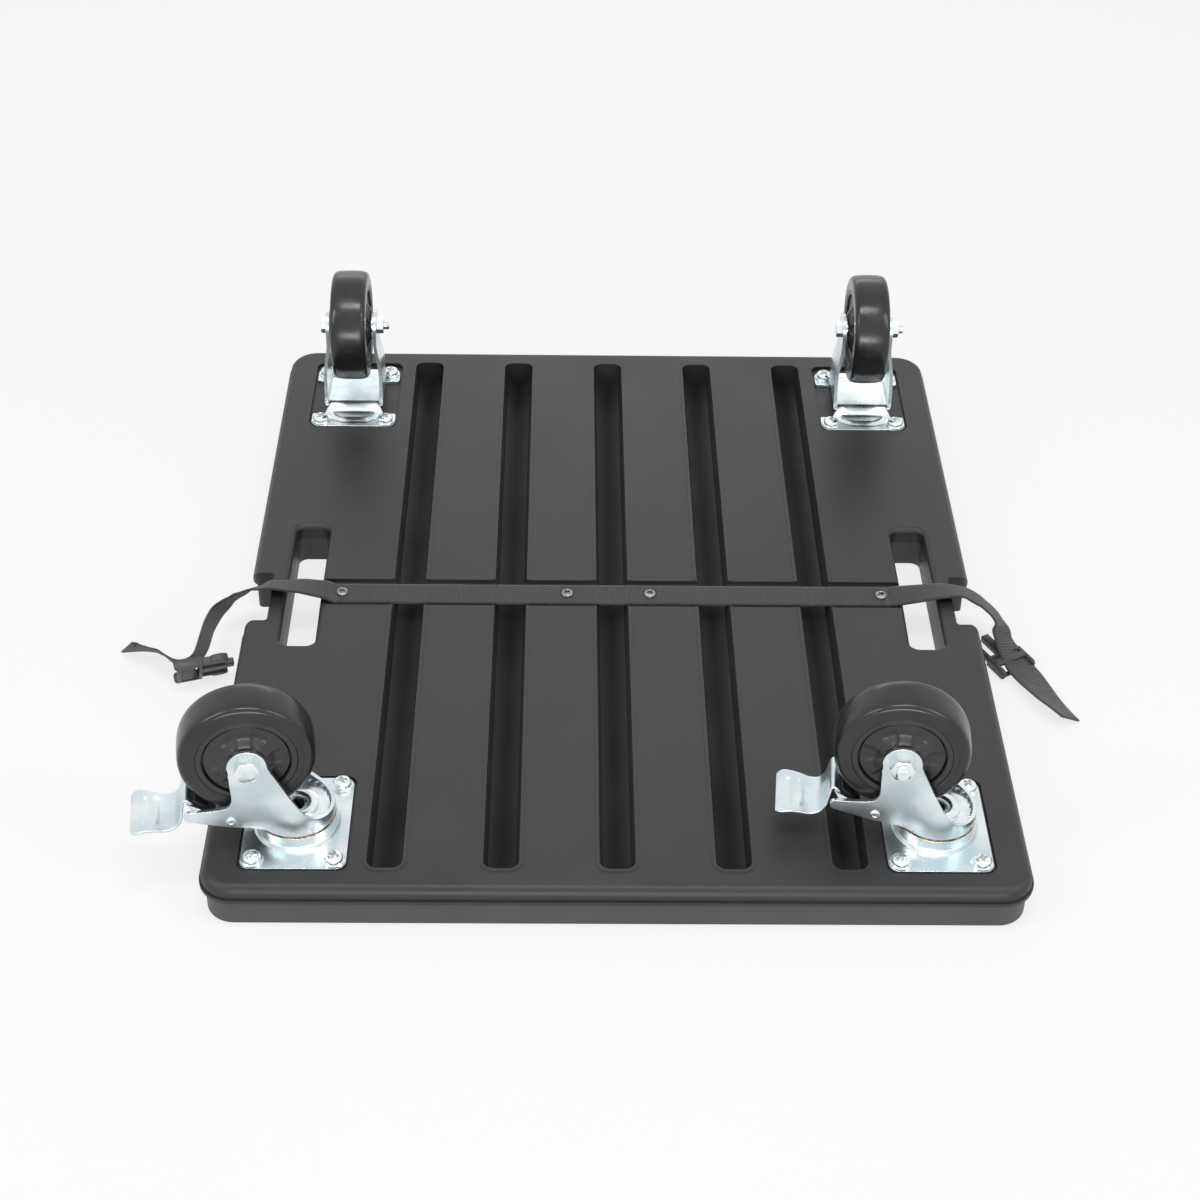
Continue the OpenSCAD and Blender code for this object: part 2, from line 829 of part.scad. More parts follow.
module fork_sleeve(s) {
    color(zinc)
    at_fork_axle(s)
        axle_sleeve(leg_y, axle_r);
}

module brake_pin(s) {
    half = leg_y + sheet;
    color(zinc)
    in_fork(s)
        translate([pin_x, 0, pin_z])
            rotate([90, 0, 0]) {
                cylinder(r = pin_r, h = 2 * half, center = true);
                for (m = [0, 1])
                    mirror([0, 0, m])
                        translate([0, 0, half])
                            cylinder(r1 = pin_head_r, r2 = pin_r, h = pin_head_h);
            }
}

// a bent strip: its middle line thickened to t, as one outline
function unit(v) = v / norm(v);
function left_of(v) = [-v[1], v[0]];
function mitre(path, i) =
    let (a = unit(path[i] - path[max(i - 1, 0)] + (i == 0 ? path[1] - path[0] : [0, 0])),
        b = unit(i == len(path) - 1 ? path[i] - path[i - 1] : path[i + 1] - path[i]),
        n = unit(left_of(a) + left_of(b)))
    n / (n * left_of(b));
module strip(path, t) {
    last = len(path) - 1;
    polygon(concat([for (i = [0 : last]) path[i] + mitre(path, i) * t / 2],
        [for (i = [last : -1 : 0]) path[i] - mitre(path, i) * t / 2]));
}

// plan of the pedal: a narrow neck and a tab that widens to its round outer corners
module pedal_plan() {
    corner_x = pedal_tab_to - pedal_corner;
    corner_y = pedal_half_w - pedal_corner;
    polygon([[pin_x, -pedal_neck_half_w], [pedal_tab_from, -pedal_neck_half_w],
        [pedal_tab_from, -pedal_tab_half_w], [corner_x, -pedal_half_w], [pedal_tab_to, -corner_y],
        [pedal_tab_to, corner_y], [corner_x, pedal_half_w], [pedal_tab_from, pedal_tab_half_w],
        [pedal_tab_from, pedal_neck_half_w], [pin_x, pedal_neck_half_w]]);
    for (y = [-1, 1])
        translate([corner_x, y * corner_y])
            circle(pedal_corner);
}

// stamped pedal: two ears on the pin, a bent neck and a wide tab
module brake_pedal(s) {
    color(zinc)
    in_fork(s) {
        intersection() {
            across_fork(pedal_half_w)
                strip(pedal_path, pedal_t);
            linear_extrude(height = axle_z)
                pedal_plan();
        }
        difference() {
            for (m = [0, 1])
                mirror([0, m, 0])
                    translate([0, ear_out, 0])
                        rotate([90, 0, 0])
                            linear_extrude(height = ear_out - ear_in) {
                                translate([pin_x, pin_z])
                                    circle(ear_r);
                                polygon([[pin_x - 2, pin_z + 6], [pin_x + 2, pin_z - 6], [58, 23],
                                    [72, 33], [78.5, 45.5], [71, 40]]);
                            }
            translate([pin_x, 0, pin_z])
                rotate([90, 0, 0])
                    cylinder(r = pin_r + run_fit, h = 4 * leg_y, center = true);
        }
    }
}

// brake block between the pedal's neck and the tread
module brake_shoe(s) {
    tread_r = wheel_d / 2;
    color(black)
    in_fork(s)
        difference() {
            translate([trail, 0, axle_z])
                rotate([90, 0, 0])
                    rotate([0, 0, -90 + shoe_from])
                        rotate_extrude(angle = shoe_to - shoe_from)
                            translate([tread_r + shoe_gap, -shoe_half_w])
                                square([shoe_t, 2 * shoe_half_w]);
            across_fork(pedal_half_w) {
                strip(pedal_path, pedal_t);
                polygon(concat([for (i = [0 : 3]) pedal_path[i]], [[100, 45], [100, 0], [50, 0]]));
            }
        }
}

// half a side leg of the rigid bracket: a wide foot and a round top
module rigid_leg_side() {
    polygon([[-leg_foot_y, -plate_t / 2], [leg_foot_y, -plate_t / 2], [leg_foot_y, 6], [leg_r, axle_z],
        [-leg_r, axle_z], [-leg_foot_y, 6]]);
    translate([0, axle_z])
        circle(leg_r);
}

// rigid bracket pressed from one sheet: two flanges, a raised web and two leaning legs
module rear_bracket(s) {
    color(zinc)
    translate(rigid_side(s))
        difference() {
            union() {
                for (y = [-1, 1])
                    translate([0, y * (plate_l - flange_l) / 2, -plate_t])
                        round_block(plate_w, flange_l, plate_t, plate_corner);
                rotate([90, 0, 90])
                    translate([0, 0, -leg_foot_x])
                        linear_extrude(height = 2 * leg_foot_x)
                            strip([[-plate_l / 2 + 6, -plate_t / 2], [-web_low_y, -plate_t / 2],
                                [-web_high_y, web_rise], [web_high_y, web_rise],
                                [web_low_y, -plate_t / 2],
                                [plate_l / 2 - 6, -plate_t / 2]], plate_t);
                for (m = [0, 1])
                    mirror([m, 0, 0])
                        translate([leg_foot_x, 0, -plate_t])
                            rotate([0, -leg_splay, 0])
                                translate([-sheet, 0, plate_t])
                                    rotate([90, 0, 90])
                                        linear_extrude(height = sheet)
                                            rigid_leg_side();
            }
            translate([0, 0, axle_z])
                rotate([0, 90, 0])
                    cylinder(r = rear_axle_r, h = 4 * leg_foot_x, center = true);
            for (x = [-1, 1], y = [-1, 1])
                translate([x * bolt_x / 2, y * bolt_y / 2, -plate_t - eps])
                    cylinder(r = hole_r, h = plate_t + 2 * eps);
        }
}

// the leaning legs at the height of the axle: their inner face, and where a bolt head seats
rigid_inner = leg_foot_x - sheet / cos(leg_splay) - (axle_z + plate_t) * tan(leg_splay);
rigid_half = leg_foot_x - (axle_z + plate_t - rear_head_r) * tan(leg_splay);

module at_rigid_axle() {
    for (s = [-1, 1])
        translate(rigid_side(s) + [0, 0, axle_z])
            rotate([0, 0, -90])
                children();
}

module rear_axles() {
    color(zinc)
    at_rigid_axle()
        axle_bolt(rigid_half, rear_axle_r, rear_head_r);
}

module rear_axle_nuts() {
    color(zinc)
    at_rigid_axle()
        axle_nut(rigid_half, rear_axle_r, rear_head_r);
}

module rear_sleeves() {
    color(zinc)
    at_rigid_axle()
        axle_sleeve(rigid_inner - sleeve_r * tan(leg_splay), rear_axle_r);
}

// a wheel's own axes: axle along z, middle of the tread at the origin
module at_front_wheel(s) {
    in_fork(s)
        translate([trail, 0, axle_z])
            rotate([90, 0, 0])
                children();
}

module at_rear_wheel(s) {
    translate(rigid_side(s) + [0, 0, axle_z])
        rotate([0, 90, 0])
            children();
}

module tyre() {
    tread_r = wheel_d / 2;
    color(black)
    rotate_extrude($fn = 96)
        difference() {
            union() {
                translate([seam_r, -wheel_w / 2])
                    square([tread_r - seam_r - shoulder_r, wheel_w]);
                translate([seam_r, shoulder_r - wheel_w / 2])
                    square([tread_r - seam_r, wheel_w - 2 * shoulder_r]);
                for (y = [-1, 1])
                    translate([tread_r - shoulder_r, y * (wheel_w / 2 - shoulder_r)])
                        circle(shoulder_r);
            }
            square([2 * seam_r, 2 * wheel_w], center = true);
        }
}

module petal_plan() {
    out = dish_r - hub_groove_w - petal_r - air;
    tip = boss_r + petal_tip_r + 2 * air;
    translate([out, 0])
        circle(petal_r);
    translate([tip, 0])
        circle(petal_tip_r);
    polygon([[tip, petal_tip_r], [out, petal_r], [out, -petal_r], [tip, -petal_tip_r]]);
}

// what the hub lacks on its upper side: groove, dish and petals
module hub_relief(face) {
    translate([0, 0, face - hub_groove_d])
        difference() {
            cylinder(r = dish_r, h = 2 * hub_groove_d, $fn = 96);
            cylinder(r = dish_r - hub_groove_w, h = 2 * hub_groove_d, $fn = 96);
        }
    translate([0, 0, face - dish_d])
        cylinder(r = dish_r - hub_groove_w / 2, h = 2 * dish_d, $fn = 96);
    for (i = [0 : petal_n - 1])
        rotate([0, 0, i * 360 / petal_n])
            translate([0, 0, face - dish_d - petal_d])
                linear_extrude(height = 2 * petal_d)
                    petal_plan();
}

module hub() {
    face = wheel_w / 2 - hub_inset;
    color(black)
    difference() {
        union() {
            difference() {
                cylinder(r = seam_r, h = 2 * face, center = true, $fn = 96);
                hub_relief(face);
                mirror([0, 0, 1])
                    hub_relief(face);
            }
            cylinder(r = boss_r, h = 2 * boss_half, center = true);
        }
        cylinder(r = sleeve_r + 1, h = 4 * wheel_w, center = true);
        for (y = [-1, 1])
            translate([0, 0, y * (boss_half - bearing_w / 2)])
                cylinder(r = bearing_r, h = bearing_w + 2 * eps, center = true);
    }
}

module bearings() {
    color(zinc)
    for (y = [-1, 1])
        translate([0, 0, y * (boss_half - (bearing_w - eps) / 2)])
            difference() {
                cylinder(r = bearing_r, h = bearing_w - eps, center = true);
                cylinder(r = sleeve_r + run_fit, h = 2 * bearing_w, center = true);
            }
}

underside_shell();
deck_tray();
caster_inserts();
caster_screws();
caster_washers();
strap_webbing();
strap_screws();
strap_tail_left();
strap_tail_right();
buckle_plug_left();
buckle_plug_right();
swivel_plate(-1);  // swivel_plate_left
swivel_plate(1);  // swivel_plate_right
kingpin(-1);  // kingpin_left
kingpin(1);  // kingpin_right
lock_ring(-1);  // lock_ring_left
lock_ring(1);  // lock_ring_right
swivel_balls(-1);  // swivel_balls_left
swivel_balls(1);  // swivel_balls_right
fork(-1);  // fork_left
fork(1);  // fork_right
fork_axle(-1);  // fork_axle_left
fork_axle(1);  // fork_axle_right
fork_axle_nut(-1);  // fork_axle_nut_left
fork_axle_nut(1);  // fork_axle_nut_right
fork_sleeve(-1);  // fork_sleeve_left
fork_sleeve(1);  // fork_sleeve_right
brake_pin(-1);  // brake_pin_left
brake_pin(1);  // brake_pin_right
brake_pedal(-1);  // brake_pedal_left
brake_pedal(1);  // brake_pedal_right
brake_shoe(-1);  // brake_shoe_left
brake_shoe(1);  // brake_shoe_right
rear_bracket(-1);  // rear_bracket_left
rear_bracket(1);  // rear_bracket_right
rear_axles();
rear_axle_nuts();
rear_sleeves();
at_front_wheel(-1) tyre();  // tyre_front_left
at_front_wheel(1) tyre();  // tyre_front_right
at_rear_wheel(-1) tyre();  // tyre_rear_left
at_rear_wheel(1) tyre();  // tyre_rear_right
at_front_wheel(-1) hub();  // hub_front_left
at_front_wheel(1) hub();  // hub_front_right
at_rear_wheel(-1) hub();  // hub_rear_left
at_rear_wheel(1) hub();  // hub_rear_right
at_front_wheel(-1) bearings();  // bearings_front_left
at_front_wheel(1) bearings();  // bearings_front_right
at_rear_wheel(-1) bearings();  // bearings_rear_left
at_rear_wheel(1) bearings();  // bearings_rear_right
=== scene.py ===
# %% [markdown]
# # A caster platform, turned over on a white floor
# The solids come from the CAD model as a fixed frame. This lesson gives each of them
# the shape and the finish that the eye sees: moulded plastic, pressed and zinc-plated
# steel, cast tyres and woven webbing. Every size is in millimetres times mm.

# %% Load the frame
import math
import bmesh
import bpy
from mathutils import Matrix, Vector


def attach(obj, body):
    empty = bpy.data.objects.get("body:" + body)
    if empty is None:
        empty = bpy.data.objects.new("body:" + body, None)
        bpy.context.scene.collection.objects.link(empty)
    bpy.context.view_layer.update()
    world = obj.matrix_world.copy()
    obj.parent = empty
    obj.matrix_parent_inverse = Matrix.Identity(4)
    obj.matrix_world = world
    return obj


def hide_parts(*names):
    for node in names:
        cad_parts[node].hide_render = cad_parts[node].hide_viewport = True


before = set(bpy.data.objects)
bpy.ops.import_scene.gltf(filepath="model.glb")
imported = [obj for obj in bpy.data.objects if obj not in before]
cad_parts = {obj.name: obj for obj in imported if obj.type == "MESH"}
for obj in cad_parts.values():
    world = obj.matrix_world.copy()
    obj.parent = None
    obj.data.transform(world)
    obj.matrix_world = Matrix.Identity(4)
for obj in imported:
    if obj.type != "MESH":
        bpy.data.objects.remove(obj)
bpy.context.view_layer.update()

mm = 0.001

# %% [markdown]
# ## Camera
# The photograph is taken from in front and above. Its place and turn were solved from
# the platform's edges and the wheels, so the render lands on the photograph. A square
# picture 36 mm wide behind a 67.4 mm lens has the same perspective.

# %% Camera at the photograph's place
LENS_MM, PICTURE_MM = 67.39, 36
CAMERA_AT, PAN, LOOKS_DOWN, ROLL = (-0.0413, -1.5051, 1.2180), -1.198, 38.562, 1.117
lens = bpy.data.cameras.new("photo_camera")
lens.lens, lens.sensor_width = LENS_MM, PICTURE_MM
lens.clip_end = 50
camera = bpy.data.objects.new("photo_camera", lens)
camera.matrix_world = (Matrix.Translation(CAMERA_AT)
    @ Matrix.Rotation(math.radians(PAN), 4, "Z")
    @ Matrix.Rotation(math.radians(90 - LOOKS_DOWN), 4, "X")
    @ Matrix.Rotation(math.radians(ROLL), 4, "Z"))
bpy.context.collection.objects.link(camera)
bpy.context.scene.camera = camera
bpy.context.scene.view_settings.view_transform = "Standard"
print("camera looks down", LOOKS_DOWN, "degrees")

# %% [markdown]
# ## Nodes and finishes
# Every material is a Principled shader with a few pattern nodes before it. One helper
# adds any node: its inputs take a value or another node's output, so a material reads
# from top to bottom. Colours are written as sRGB hex and turned to linear light once.

# %% Colour and node helpers
def linear(hex_colour):
    values = [int(hex_colour[i:i + 2], 16) / 255 for i in (1, 3, 5)]
    return [v / 12.92 if v <= 0.04045 else ((v + 0.055) / 1.055) ** 2.4 for v in values] + [1]


def add(tree, kind, inputs=None, **settings):
    node = tree.nodes.new("ShaderNode" + kind)
    for name, value in settings.items():
        setattr(node, name, value)
    for name, value in (inputs or {}).items():
        if isinstance(value, bpy.types.NodeSocket):
            tree.links.new(value, node.inputs[name])
        else:
            node.inputs[name].default_value = value
    return node


def finish(name, colour, roughness, metallic=0.0):
    material = bpy.data.materials.new(name)
    material.use_nodes = True
    tree = material.node_tree
    shader = tree.nodes["Principled BSDF"]
    shader.inputs["Base Color"].default_value = linear(colour)
    shader.inputs["Roughness"].default_value = roughness
    shader.inputs["Metallic"].default_value = metallic
    material.diffuse_color = linear(colour)
    return material, tree, shader


print("white as linear:", linear("#ffffff")[:3])

# %% [markdown]
# A mottle is soft noise that mixes two colours and, where it has a gloss, two values of
# roughness. A grain is fine noise that tips the surface through a Bump node. Both read
# Object coordinates, so their size is in metres: a noise scale of 1000 has features
# about a millimetre wide. A colour Mix node has its two colours at inputs 6 and 7 and
# its result at output 2.

# %% Mottle and grain helpers
def noise_on(tree, scale, detail):
    where = add(tree, "TexCoord").outputs["Object"]
    return add(tree, "TexNoise", {"Vector": where, "Scale": scale, "Detail": detail}).outputs["Fac"]


def colour_between(tree, shader, amount, dark, pale):
    mix = add(tree, "Mix", {"Factor": amount}, data_type="RGBA")
    mix.inputs[6].default_value, mix.inputs[7].default_value = linear(dark), linear(pale)
    tree.links.new(mix.outputs[2], shader.inputs["Base Color"])


def mottle(tree, shader, dark, pale, scale, gloss=None, low=0.35, high=0.65, detail=4):
    noise = noise_on(tree, scale, detail)
    ramp = add(tree, "MapRange", {"Value": noise, "From Min": low, "From Max": high})
    colour_between(tree, shader, ramp.outputs["Result"], dark, pale)
    if gloss:
        ends = {"Value": ramp.outputs["Result"], "To Min": gloss[0], "To Max": gloss[1]}
        rough = add(tree, "MapRange", ends)
        tree.links.new(rough.outputs["Result"], shader.inputs["Roughness"])


def bumpy(tree, shader, height, depth, strength):
    bump = add(tree, "Bump", {"Height": height, "Distance": depth * mm, "Strength": strength})
    tree.links.new(bump.outputs["Normal"], shader.inputs["Normal"])


def grain(tree, shader, scale, depth, strength=0.5, detail=2):
    bumpy(tree, shader, noise_on(tree, scale, detail), depth, strength)


# %% [markdown]
# ## Plastics
# The deck is injection-moulded polypropylene, charcoal grey, with a fine spark-eroded
# grain that keeps it matt. The grain is about 0.3 mm on the real part and is drawn at
# 1 mm, because a finer one would not show. The tray is the same plastic with painted
# light: its colour is made lighter for the light that the white floor throws on its side.

# %% Deck and tray plastic
deck_plastic, tree, shader = finish("moulded_polypropylene_deck", "#272628", 0.45)
mottle(tree, shader, "#252426", "#2b2a2c", 14, (0.42, 0.5))
grain(tree, shader, 1000, 0.25, 0.35)

# painted light: the tray's lighter colour stands for light from the white floor on its side
tray_plastic, tree, shader = finish("moulded_polypropylene_tray_painted_lighter", "#464548", 0.48)
mottle(tree, shader, "#434245", "#4a494c", 14, (0.44, 0.52))
grain(tree, shader, 1000, 0.25, 0.35)
print("plastics:", deck_plastic.name, tray_plastic.name)

# %% [markdown]
# The tyre is cast black polyurethane: smooth, with soft wide highlights and a faint
# bloom that makes some zones duller. The hub is moulded nylon, a little glossier. The
# buckle is acetal, which has a waxy sheen, and the brake block is matt rubber.

# %% Tyre, hub, buckle and rubber
tread_black, tree, shader = finish("cast_polyurethane_tyre", "#1b1a1c", 0.26)
mottle(tree, shader, "#1b1a1c", "#262527", 45, (0.17, 0.28))
grain(tree, shader, 350, 0.12, 0.25)

hub_black, tree, shader = finish("moulded_nylon_hub", "#2a292b", 0.36)
mottle(tree, shader, "#272628", "#2f2e30", 90, (0.32, 0.4))
grain(tree, shader, 900, 0.15, 0.25)

buckle_acetal, tree, shader = finish("moulded_acetal_buckle", "#3c3c3f", 0.38)
mottle(tree, shader, "#37373a", "#434346", 120, (0.34, 0.46))
grain(tree, shader, 1400, 0.1, 0.3)

shoe_rubber, tree, shader = finish("moulded_rubber_block", "#222223", 0.6)
mottle(tree, shader, "#1d1d1e", "#2a2a2b", 150)
grain(tree, shader, 1200, 0.3, 0.5)
print("blacks:", tread_black.name, hub_black.name, buckle_acetal.name, shoe_rubber.name)

# %% [markdown]
# ## Metals
# Pressed steel with bright zinc plating is pale and slightly blue-green. Passivation
# leaves it cloudy, so both the colour and the gloss wander over a few centimetres, and
# a rolled-sheet ripple bends the reflections a little. The metal keeps the default IOR.

# %% Zinc, screws and greased balls
zinc_steel, tree, shader = finish("zinc_plated_pressed_steel", "#dbe4e7", 0.28, 1.0)
mottle(tree, shader, "#c9d7dc", "#e6eced", 32, (0.36, 0.22), 0.36, 0.66, 2)
grain(tree, shader, 90, 0.3, 0.25, 1)

screw_zinc, tree, shader = finish("zinc_plated_screw_steel", "#e6edef", 0.26, 1.0)
mottle(tree, shader, "#dbe3e6", "#eff4f5", 150, (0.32, 0.2))
grain(tree, shader, 900, 0.08, 0.25)

ball_steel, tree, shader = finish("greased_bearing_steel", "#a89c7c", 0.28, 1.0)
mottle(tree, shader, "#6f6446", "#c9bf9f", 260, (0.45, 0.15))
grain(tree, shader, 600, 0.2, 0.4)

grease, tree, shader = finish("bearing_grease", "#8a7430", 0.3)
mottle(tree, shader, "#1c1710", "#b8983c", 330, low=0.4, high=0.6)

strap_steel, tree, shader = finish("dull_zinc_screw_steel", "#8f8d8c", 0.36, 1.0)
mottle(tree, shader, "#7c7a79", "#a5a3a2", 300, (0.3, 0.45))
grain(tree, shader, 1200, 0.08, 0.3)
print("metals:", zinc_steel.name, screw_zinc.name, ball_steel.name, strap_steel.name)

# %% [markdown]
# ## Webbing
# Polyester webbing is woven with thick picks across it, which show as ribs, and thin
# ends along it. Its piece carries a UV map in metres, across and along, so the weave
# follows every twist. Two sines make the relief, and the same height paints shade into
# the valleys and light onto the ribs. A little sheen is the fibres' fuzz.

# %% Woven webbing
RIB, THREAD, END_SHARE = 1.6 * mm, 1.1 * mm, 0.15
webbing, tree, shader = finish("woven_polyester_webbing", "#3f3e40", 0.7)
shader.inputs["Sheen Weight"].default_value = 0.3
shader.inputs["Sheen Roughness"].default_value = 0.5
flat = add(tree, "SeparateXYZ", {"Vector": add(tree, "UVMap", uv_map="weave").outputs["UV"]})


def wave(along, period):
    turns = add(tree, "Math", {0: along, 1: 2 * math.pi / period}, operation="MULTIPLY")
    return add(tree, "Math", {0: turns.outputs[0]}, operation="SINE").outputs[0]


ribs = wave(flat.outputs["Y"], RIB)
threads = {0: wave(flat.outputs["X"], THREAD), 1: wave(flat.outputs["Y"], 2 * RIB)}
ends = add(tree, "Math", threads, operation="MULTIPLY").outputs[0]
relief = add(tree, "Math", {0: ends, 1: END_SHARE, 2: ribs}, operation="MULTIPLY_ADD").outputs[0]
bumpy(tree, shader, relief, 0.3, 1.0)
# painted shade and light: the weave's relief darkens its valleys and lightens its ribs in the colour
depth = add(tree, "MapRange", {"Value": relief, "From Min": -1.2, "From Max": 1.2})
colour_between(tree, shader, depth.outputs["Result"], "#1a191b", "#4a484b")
print("webbing ribs every", round(RIB / mm, 1), "mm")

# %% [markdown]
# ## The strap's free ends
# Each free end is one flat ribbon that lies where the CAD solid lies. The route is
# drawn once more here, in millimetres, with the tilt of the webbing in degrees at each
# point. A smooth curve through the points takes out their corners, a bmesh grid becomes
# the ribbon when each of its rows is moved to its place, and Solidify makes it thick.

# %% Routes of the free ends
WEB_WIDTH, WEB_THICK = 25 * mm, 1.6 * mm
LEFT_ROUTE = [[-234, -16, 35.8, 0], [-242, -16, 39.5, -2], [-251, -16, 41.5, -7],
    [-261, -15.5, 43, -11], [-271, -15.5, 43.5, -16], [-280.5, -15, 43.5, -21],
    [-289.5, -14.5, 43.5, -22], [-297.5, -14.5, 41, -29], [-305, -14, 38.5, -34],
    [-312, -14.5, 35, -40], [-318.5, -15.5, 31.5, -48], [-324.5, -18.5, 28, -59],
    [-330, -22.5, 24.5, -71], [-334.5, -28.5, 22, -83], [-337.5, -36, 20, -89],
    [-339, -45, 19, -93], [-340, -55, 19, -94], [-341.5, -65, 18.5, -90],
    [-344, -75, 17, -83], [-349, -87, 16.5, -70], [-356, -89.5, 16, -65],
    [-363, -83, 15, -60], [-370.5, -74, 14.5, -55], [-377.5, -68, 13, -50],
    [-384, -63, 12, -48], [-391.5, -60, 11.5, -51], [-398.5, -60, 11.5, -52],
    [-405, -62.5, 14, -54]]
RIGHT_ROUTE = [[234, -16, 35.8, 0], [242, -16, 37, 0], [251, -16, 38.5, 2], [261, -16, 40, 5],
    [271, -15.5, 41.5, 8], [281, -15, 42, 11], [290, -15, 42, 15], [298, -15.5, 41, 18],
    [305, -17.5, 38.5, 20], [312, -21, 35.5, 25], [318.5, -25, 32, 30], [324.5, -30.5, 28, 36],
    [328.5, -36, 22, 40], [330, -43, 16, 35], [333, -51.5, 12, 24], [337, -62, 9.5, 13],
    [341.5, -74, 7.5, 6], [347, -86, 7, 6], [352.5, -99, 7, 14], [358, -112.5, 7.5, 22],
    [365, -126, 8, 30], [372.5, -139, 8, 34]]


def smooth_route(route, parts):
    ends = [[2 * a - b for a, b in zip(route[i], route[j])] for i, j in ((0, 1), (-1, -2))]
    knots = [Vector(p) for p in (ends[0], *route, ends[1])]
    line = []
    for a, b, c, d in zip(knots, knots[1:], knots[2:], knots[3:]):
        for k in range(parts):
            t = k / parts
            line.append(0.5 * (2 * b + (c - a) * t + (2 * a - 5 * b + 4 * c - d) * t ** 2
                + (3 * b - a - 3 * c + d) * t ** 3))
    return line + [knots[-2]]


def length_of(points):
    return sum((b - a).length for a, b in zip(points, points[1:]))


left_line, right_line = smooth_route(LEFT_ROUTE, 5), smooth_route(RIGHT_ROUTE, 5)
for name, line in (("left", left_line), ("right", right_line)):
    print(name, "free end, mm:", round(length_of([p.xyz for p in line]), 1))

# %% [markdown]
# A piece is one mesh object whose place is in its vertices. This helper takes a
# finished bmesh, shades it smooth with sharp edges kept, gives it its material, and
# puts it on the CAD body that carries it. A look is a material with its slot.

# %% Make a piece from a bmesh
STRAP = (webbing, "webbing")
ZINC = (zinc_steel, "zinc_steel")
BOLT = (screw_zinc, "screw_steel")
TURNED = (screw_zinc, "zinc_steel")


def piece(name, bm, material, slot, body, stands_for=(), crease=38):
    mesh = bpy.data.meshes.new(name)
    bm.to_mesh(mesh)
    bm.free()
    mesh.polygons.foreach_set("use_smooth", [True] * len(mesh.polygons))
    mesh.set_sharp_from_angle(angle=math.radians(crease))
    mesh.materials.append(material)
    made = bpy.data.objects.new(name, mesh)
    bpy.context.collection.objects.link(made)
    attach(made, body)
    if stands_for:
        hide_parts(*stands_for)
    print(name, len(mesh.polygons), "faces on", body)
    return made


# %% [markdown]
# The ribbon's frame at each point comes from its heading: flat lies level across it,
# and the tilt turns the webbing from flat towards upright. This is the same rule that
# the CAD source uses, so the two agree.

# %% Ribbon along a route
def ribbon(line, columns=10):
    bm = bmesh.new()
    weave = bm.loops.layers.uv.new("weave")
    rows = len(line) - 1
    bmesh.ops.create_grid(bm, x_segments=columns, y_segments=rows, size=1, calc_uvs=True)
    points = [p.xyz * mm for p in line]
    far = [0]
    for a, b in zip(points, points[1:]):
        far.append(far[-1] + (b - a).length)
    for face in bm.faces:
        for loop in face.loops:
            u, v = (loop.vert.co.x + 1) / 2, (loop.vert.co.y + 1) / 2
            loop[weave].uv = (u * WEB_WIDTH, far[round(v * rows)])
    for vert in bm.verts:
        i = round((vert.co.y + 1) / 2 * rows)
        heading = (points[min(i + 1, rows)] - points[max(i - 1, 0)]).normalized()
        flat = Vector((heading.y, -heading.x, 0)).normalized()
        tilt = math.radians(line[i][3])
        across = flat * math.cos(tilt) + flat.cross(heading) * math.sin(tilt)
        vert.co = points[i] + across * vert.co.x * WEB_WIDTH / 2
    return bm, points


def thicken(made, thickness):
    solid = made.modifiers.new("thickness", "SOLIDIFY")
    solid.thickness, solid.offset = thickness, 0
    solid.use_even_offset = True


bm, left_path = ribbon(left_line)
tail_left = piece("webbing_end_left", bm, *STRAP, "platform", ["strap_tail_left"])
thicken(tail_left, WEB_THICK)
bm, right_path = ribbon(right_line)
tail_right = piece("webbing_end_right", bm, *STRAP, "platform", ["strap_tail_right"])
thicken(tail_right, WEB_THICK)

# %% [markdown]
# ## Buckle plugs
# Each end of the strap passes through the base of a side-release buckle's male half.
# It is a moulding of plain blocks with soft edges: two side plates with round ends, a
# collar, two bars, two sprung arms with finger pads and a guide between them. Blocks
# and plates are made by bmesh operators, put in place and then bevelled.

# %% Block, plate and soft edges
def block(bm, low, high):
    size = [b - a for a, b in zip(low, high)]
    middle = [(a + b) / 2 * mm for a, b in zip(low, high)]
    place = Matrix.Translation(middle) @ Matrix.Diagonal([*(v * mm for v in size), 1])
    return bmesh.ops.create_cube(bm, size=1, matrix=place)["verts"]


def rounded(bm, edges, width, segments, clamp=True):
    bmesh.ops.bevel(bm, geom=list(edges), offset=width * mm, offset_type="OFFSET",
        segments=segments, profile=0.5, affect="EDGES", clamp_overlap=clamp, material=-1)


def is_corner(edge, angle):
    return edge.is_manifold and edge.calc_face_angle() > math.radians(angle)


def soften(bm, verts, width, segments=2, angle=30):
    edges = {e for v in verts for e in v.link_edges if is_corner(e, angle)}
    rounded(bm, edges, width, segments)


def new_verts(geometry):
    return [v for v in geometry if isinstance(v, bmesh.types.BMVert)]


def outline_plate(bm, outline, low, high):
    corners = [bm.verts.new((x * mm, y * mm, low * mm)) for x, y in outline]
    bottom = bm.faces.new(corners)
    raised = bmesh.ops.extrude_face_region(bm, geom=[bottom], use_keep_orig=True)["geom"]
    top = new_verts(raised)
    bmesh.ops.translate(bm, verts=top, vec=(0, 0, (high - low) * mm))
    bmesh.ops.recalc_face_normals(bm, faces=list({f for v in corners + top for f in v.link_faces}))
    return corners + top


def tipped(bm, verts, degrees=90):
    turn = Matrix.Rotation(math.radians(degrees), 3, "X")
    bmesh.ops.rotate(bm, verts=verts, cent=(0, 0, 0), matrix=turn)
    return verts


def placed(bm, place):
    bmesh.ops.transform(bm, matrix=place, verts=bm.verts)
    return bm


def at(x, y, z):
    return Matrix.Translation((x * mm, y * mm, z * mm))


def turned(degrees, axis):
    return Matrix.Rotation(math.radians(degrees), 4, axis)


# %% [markdown]
# Every block is a closed form of its own, and they run into each other as the moulding's
# parts do. The plug is built along x with its collar at the origin and then placed.
# The left end folds over inside its plug, and that fold is a block of webbing.

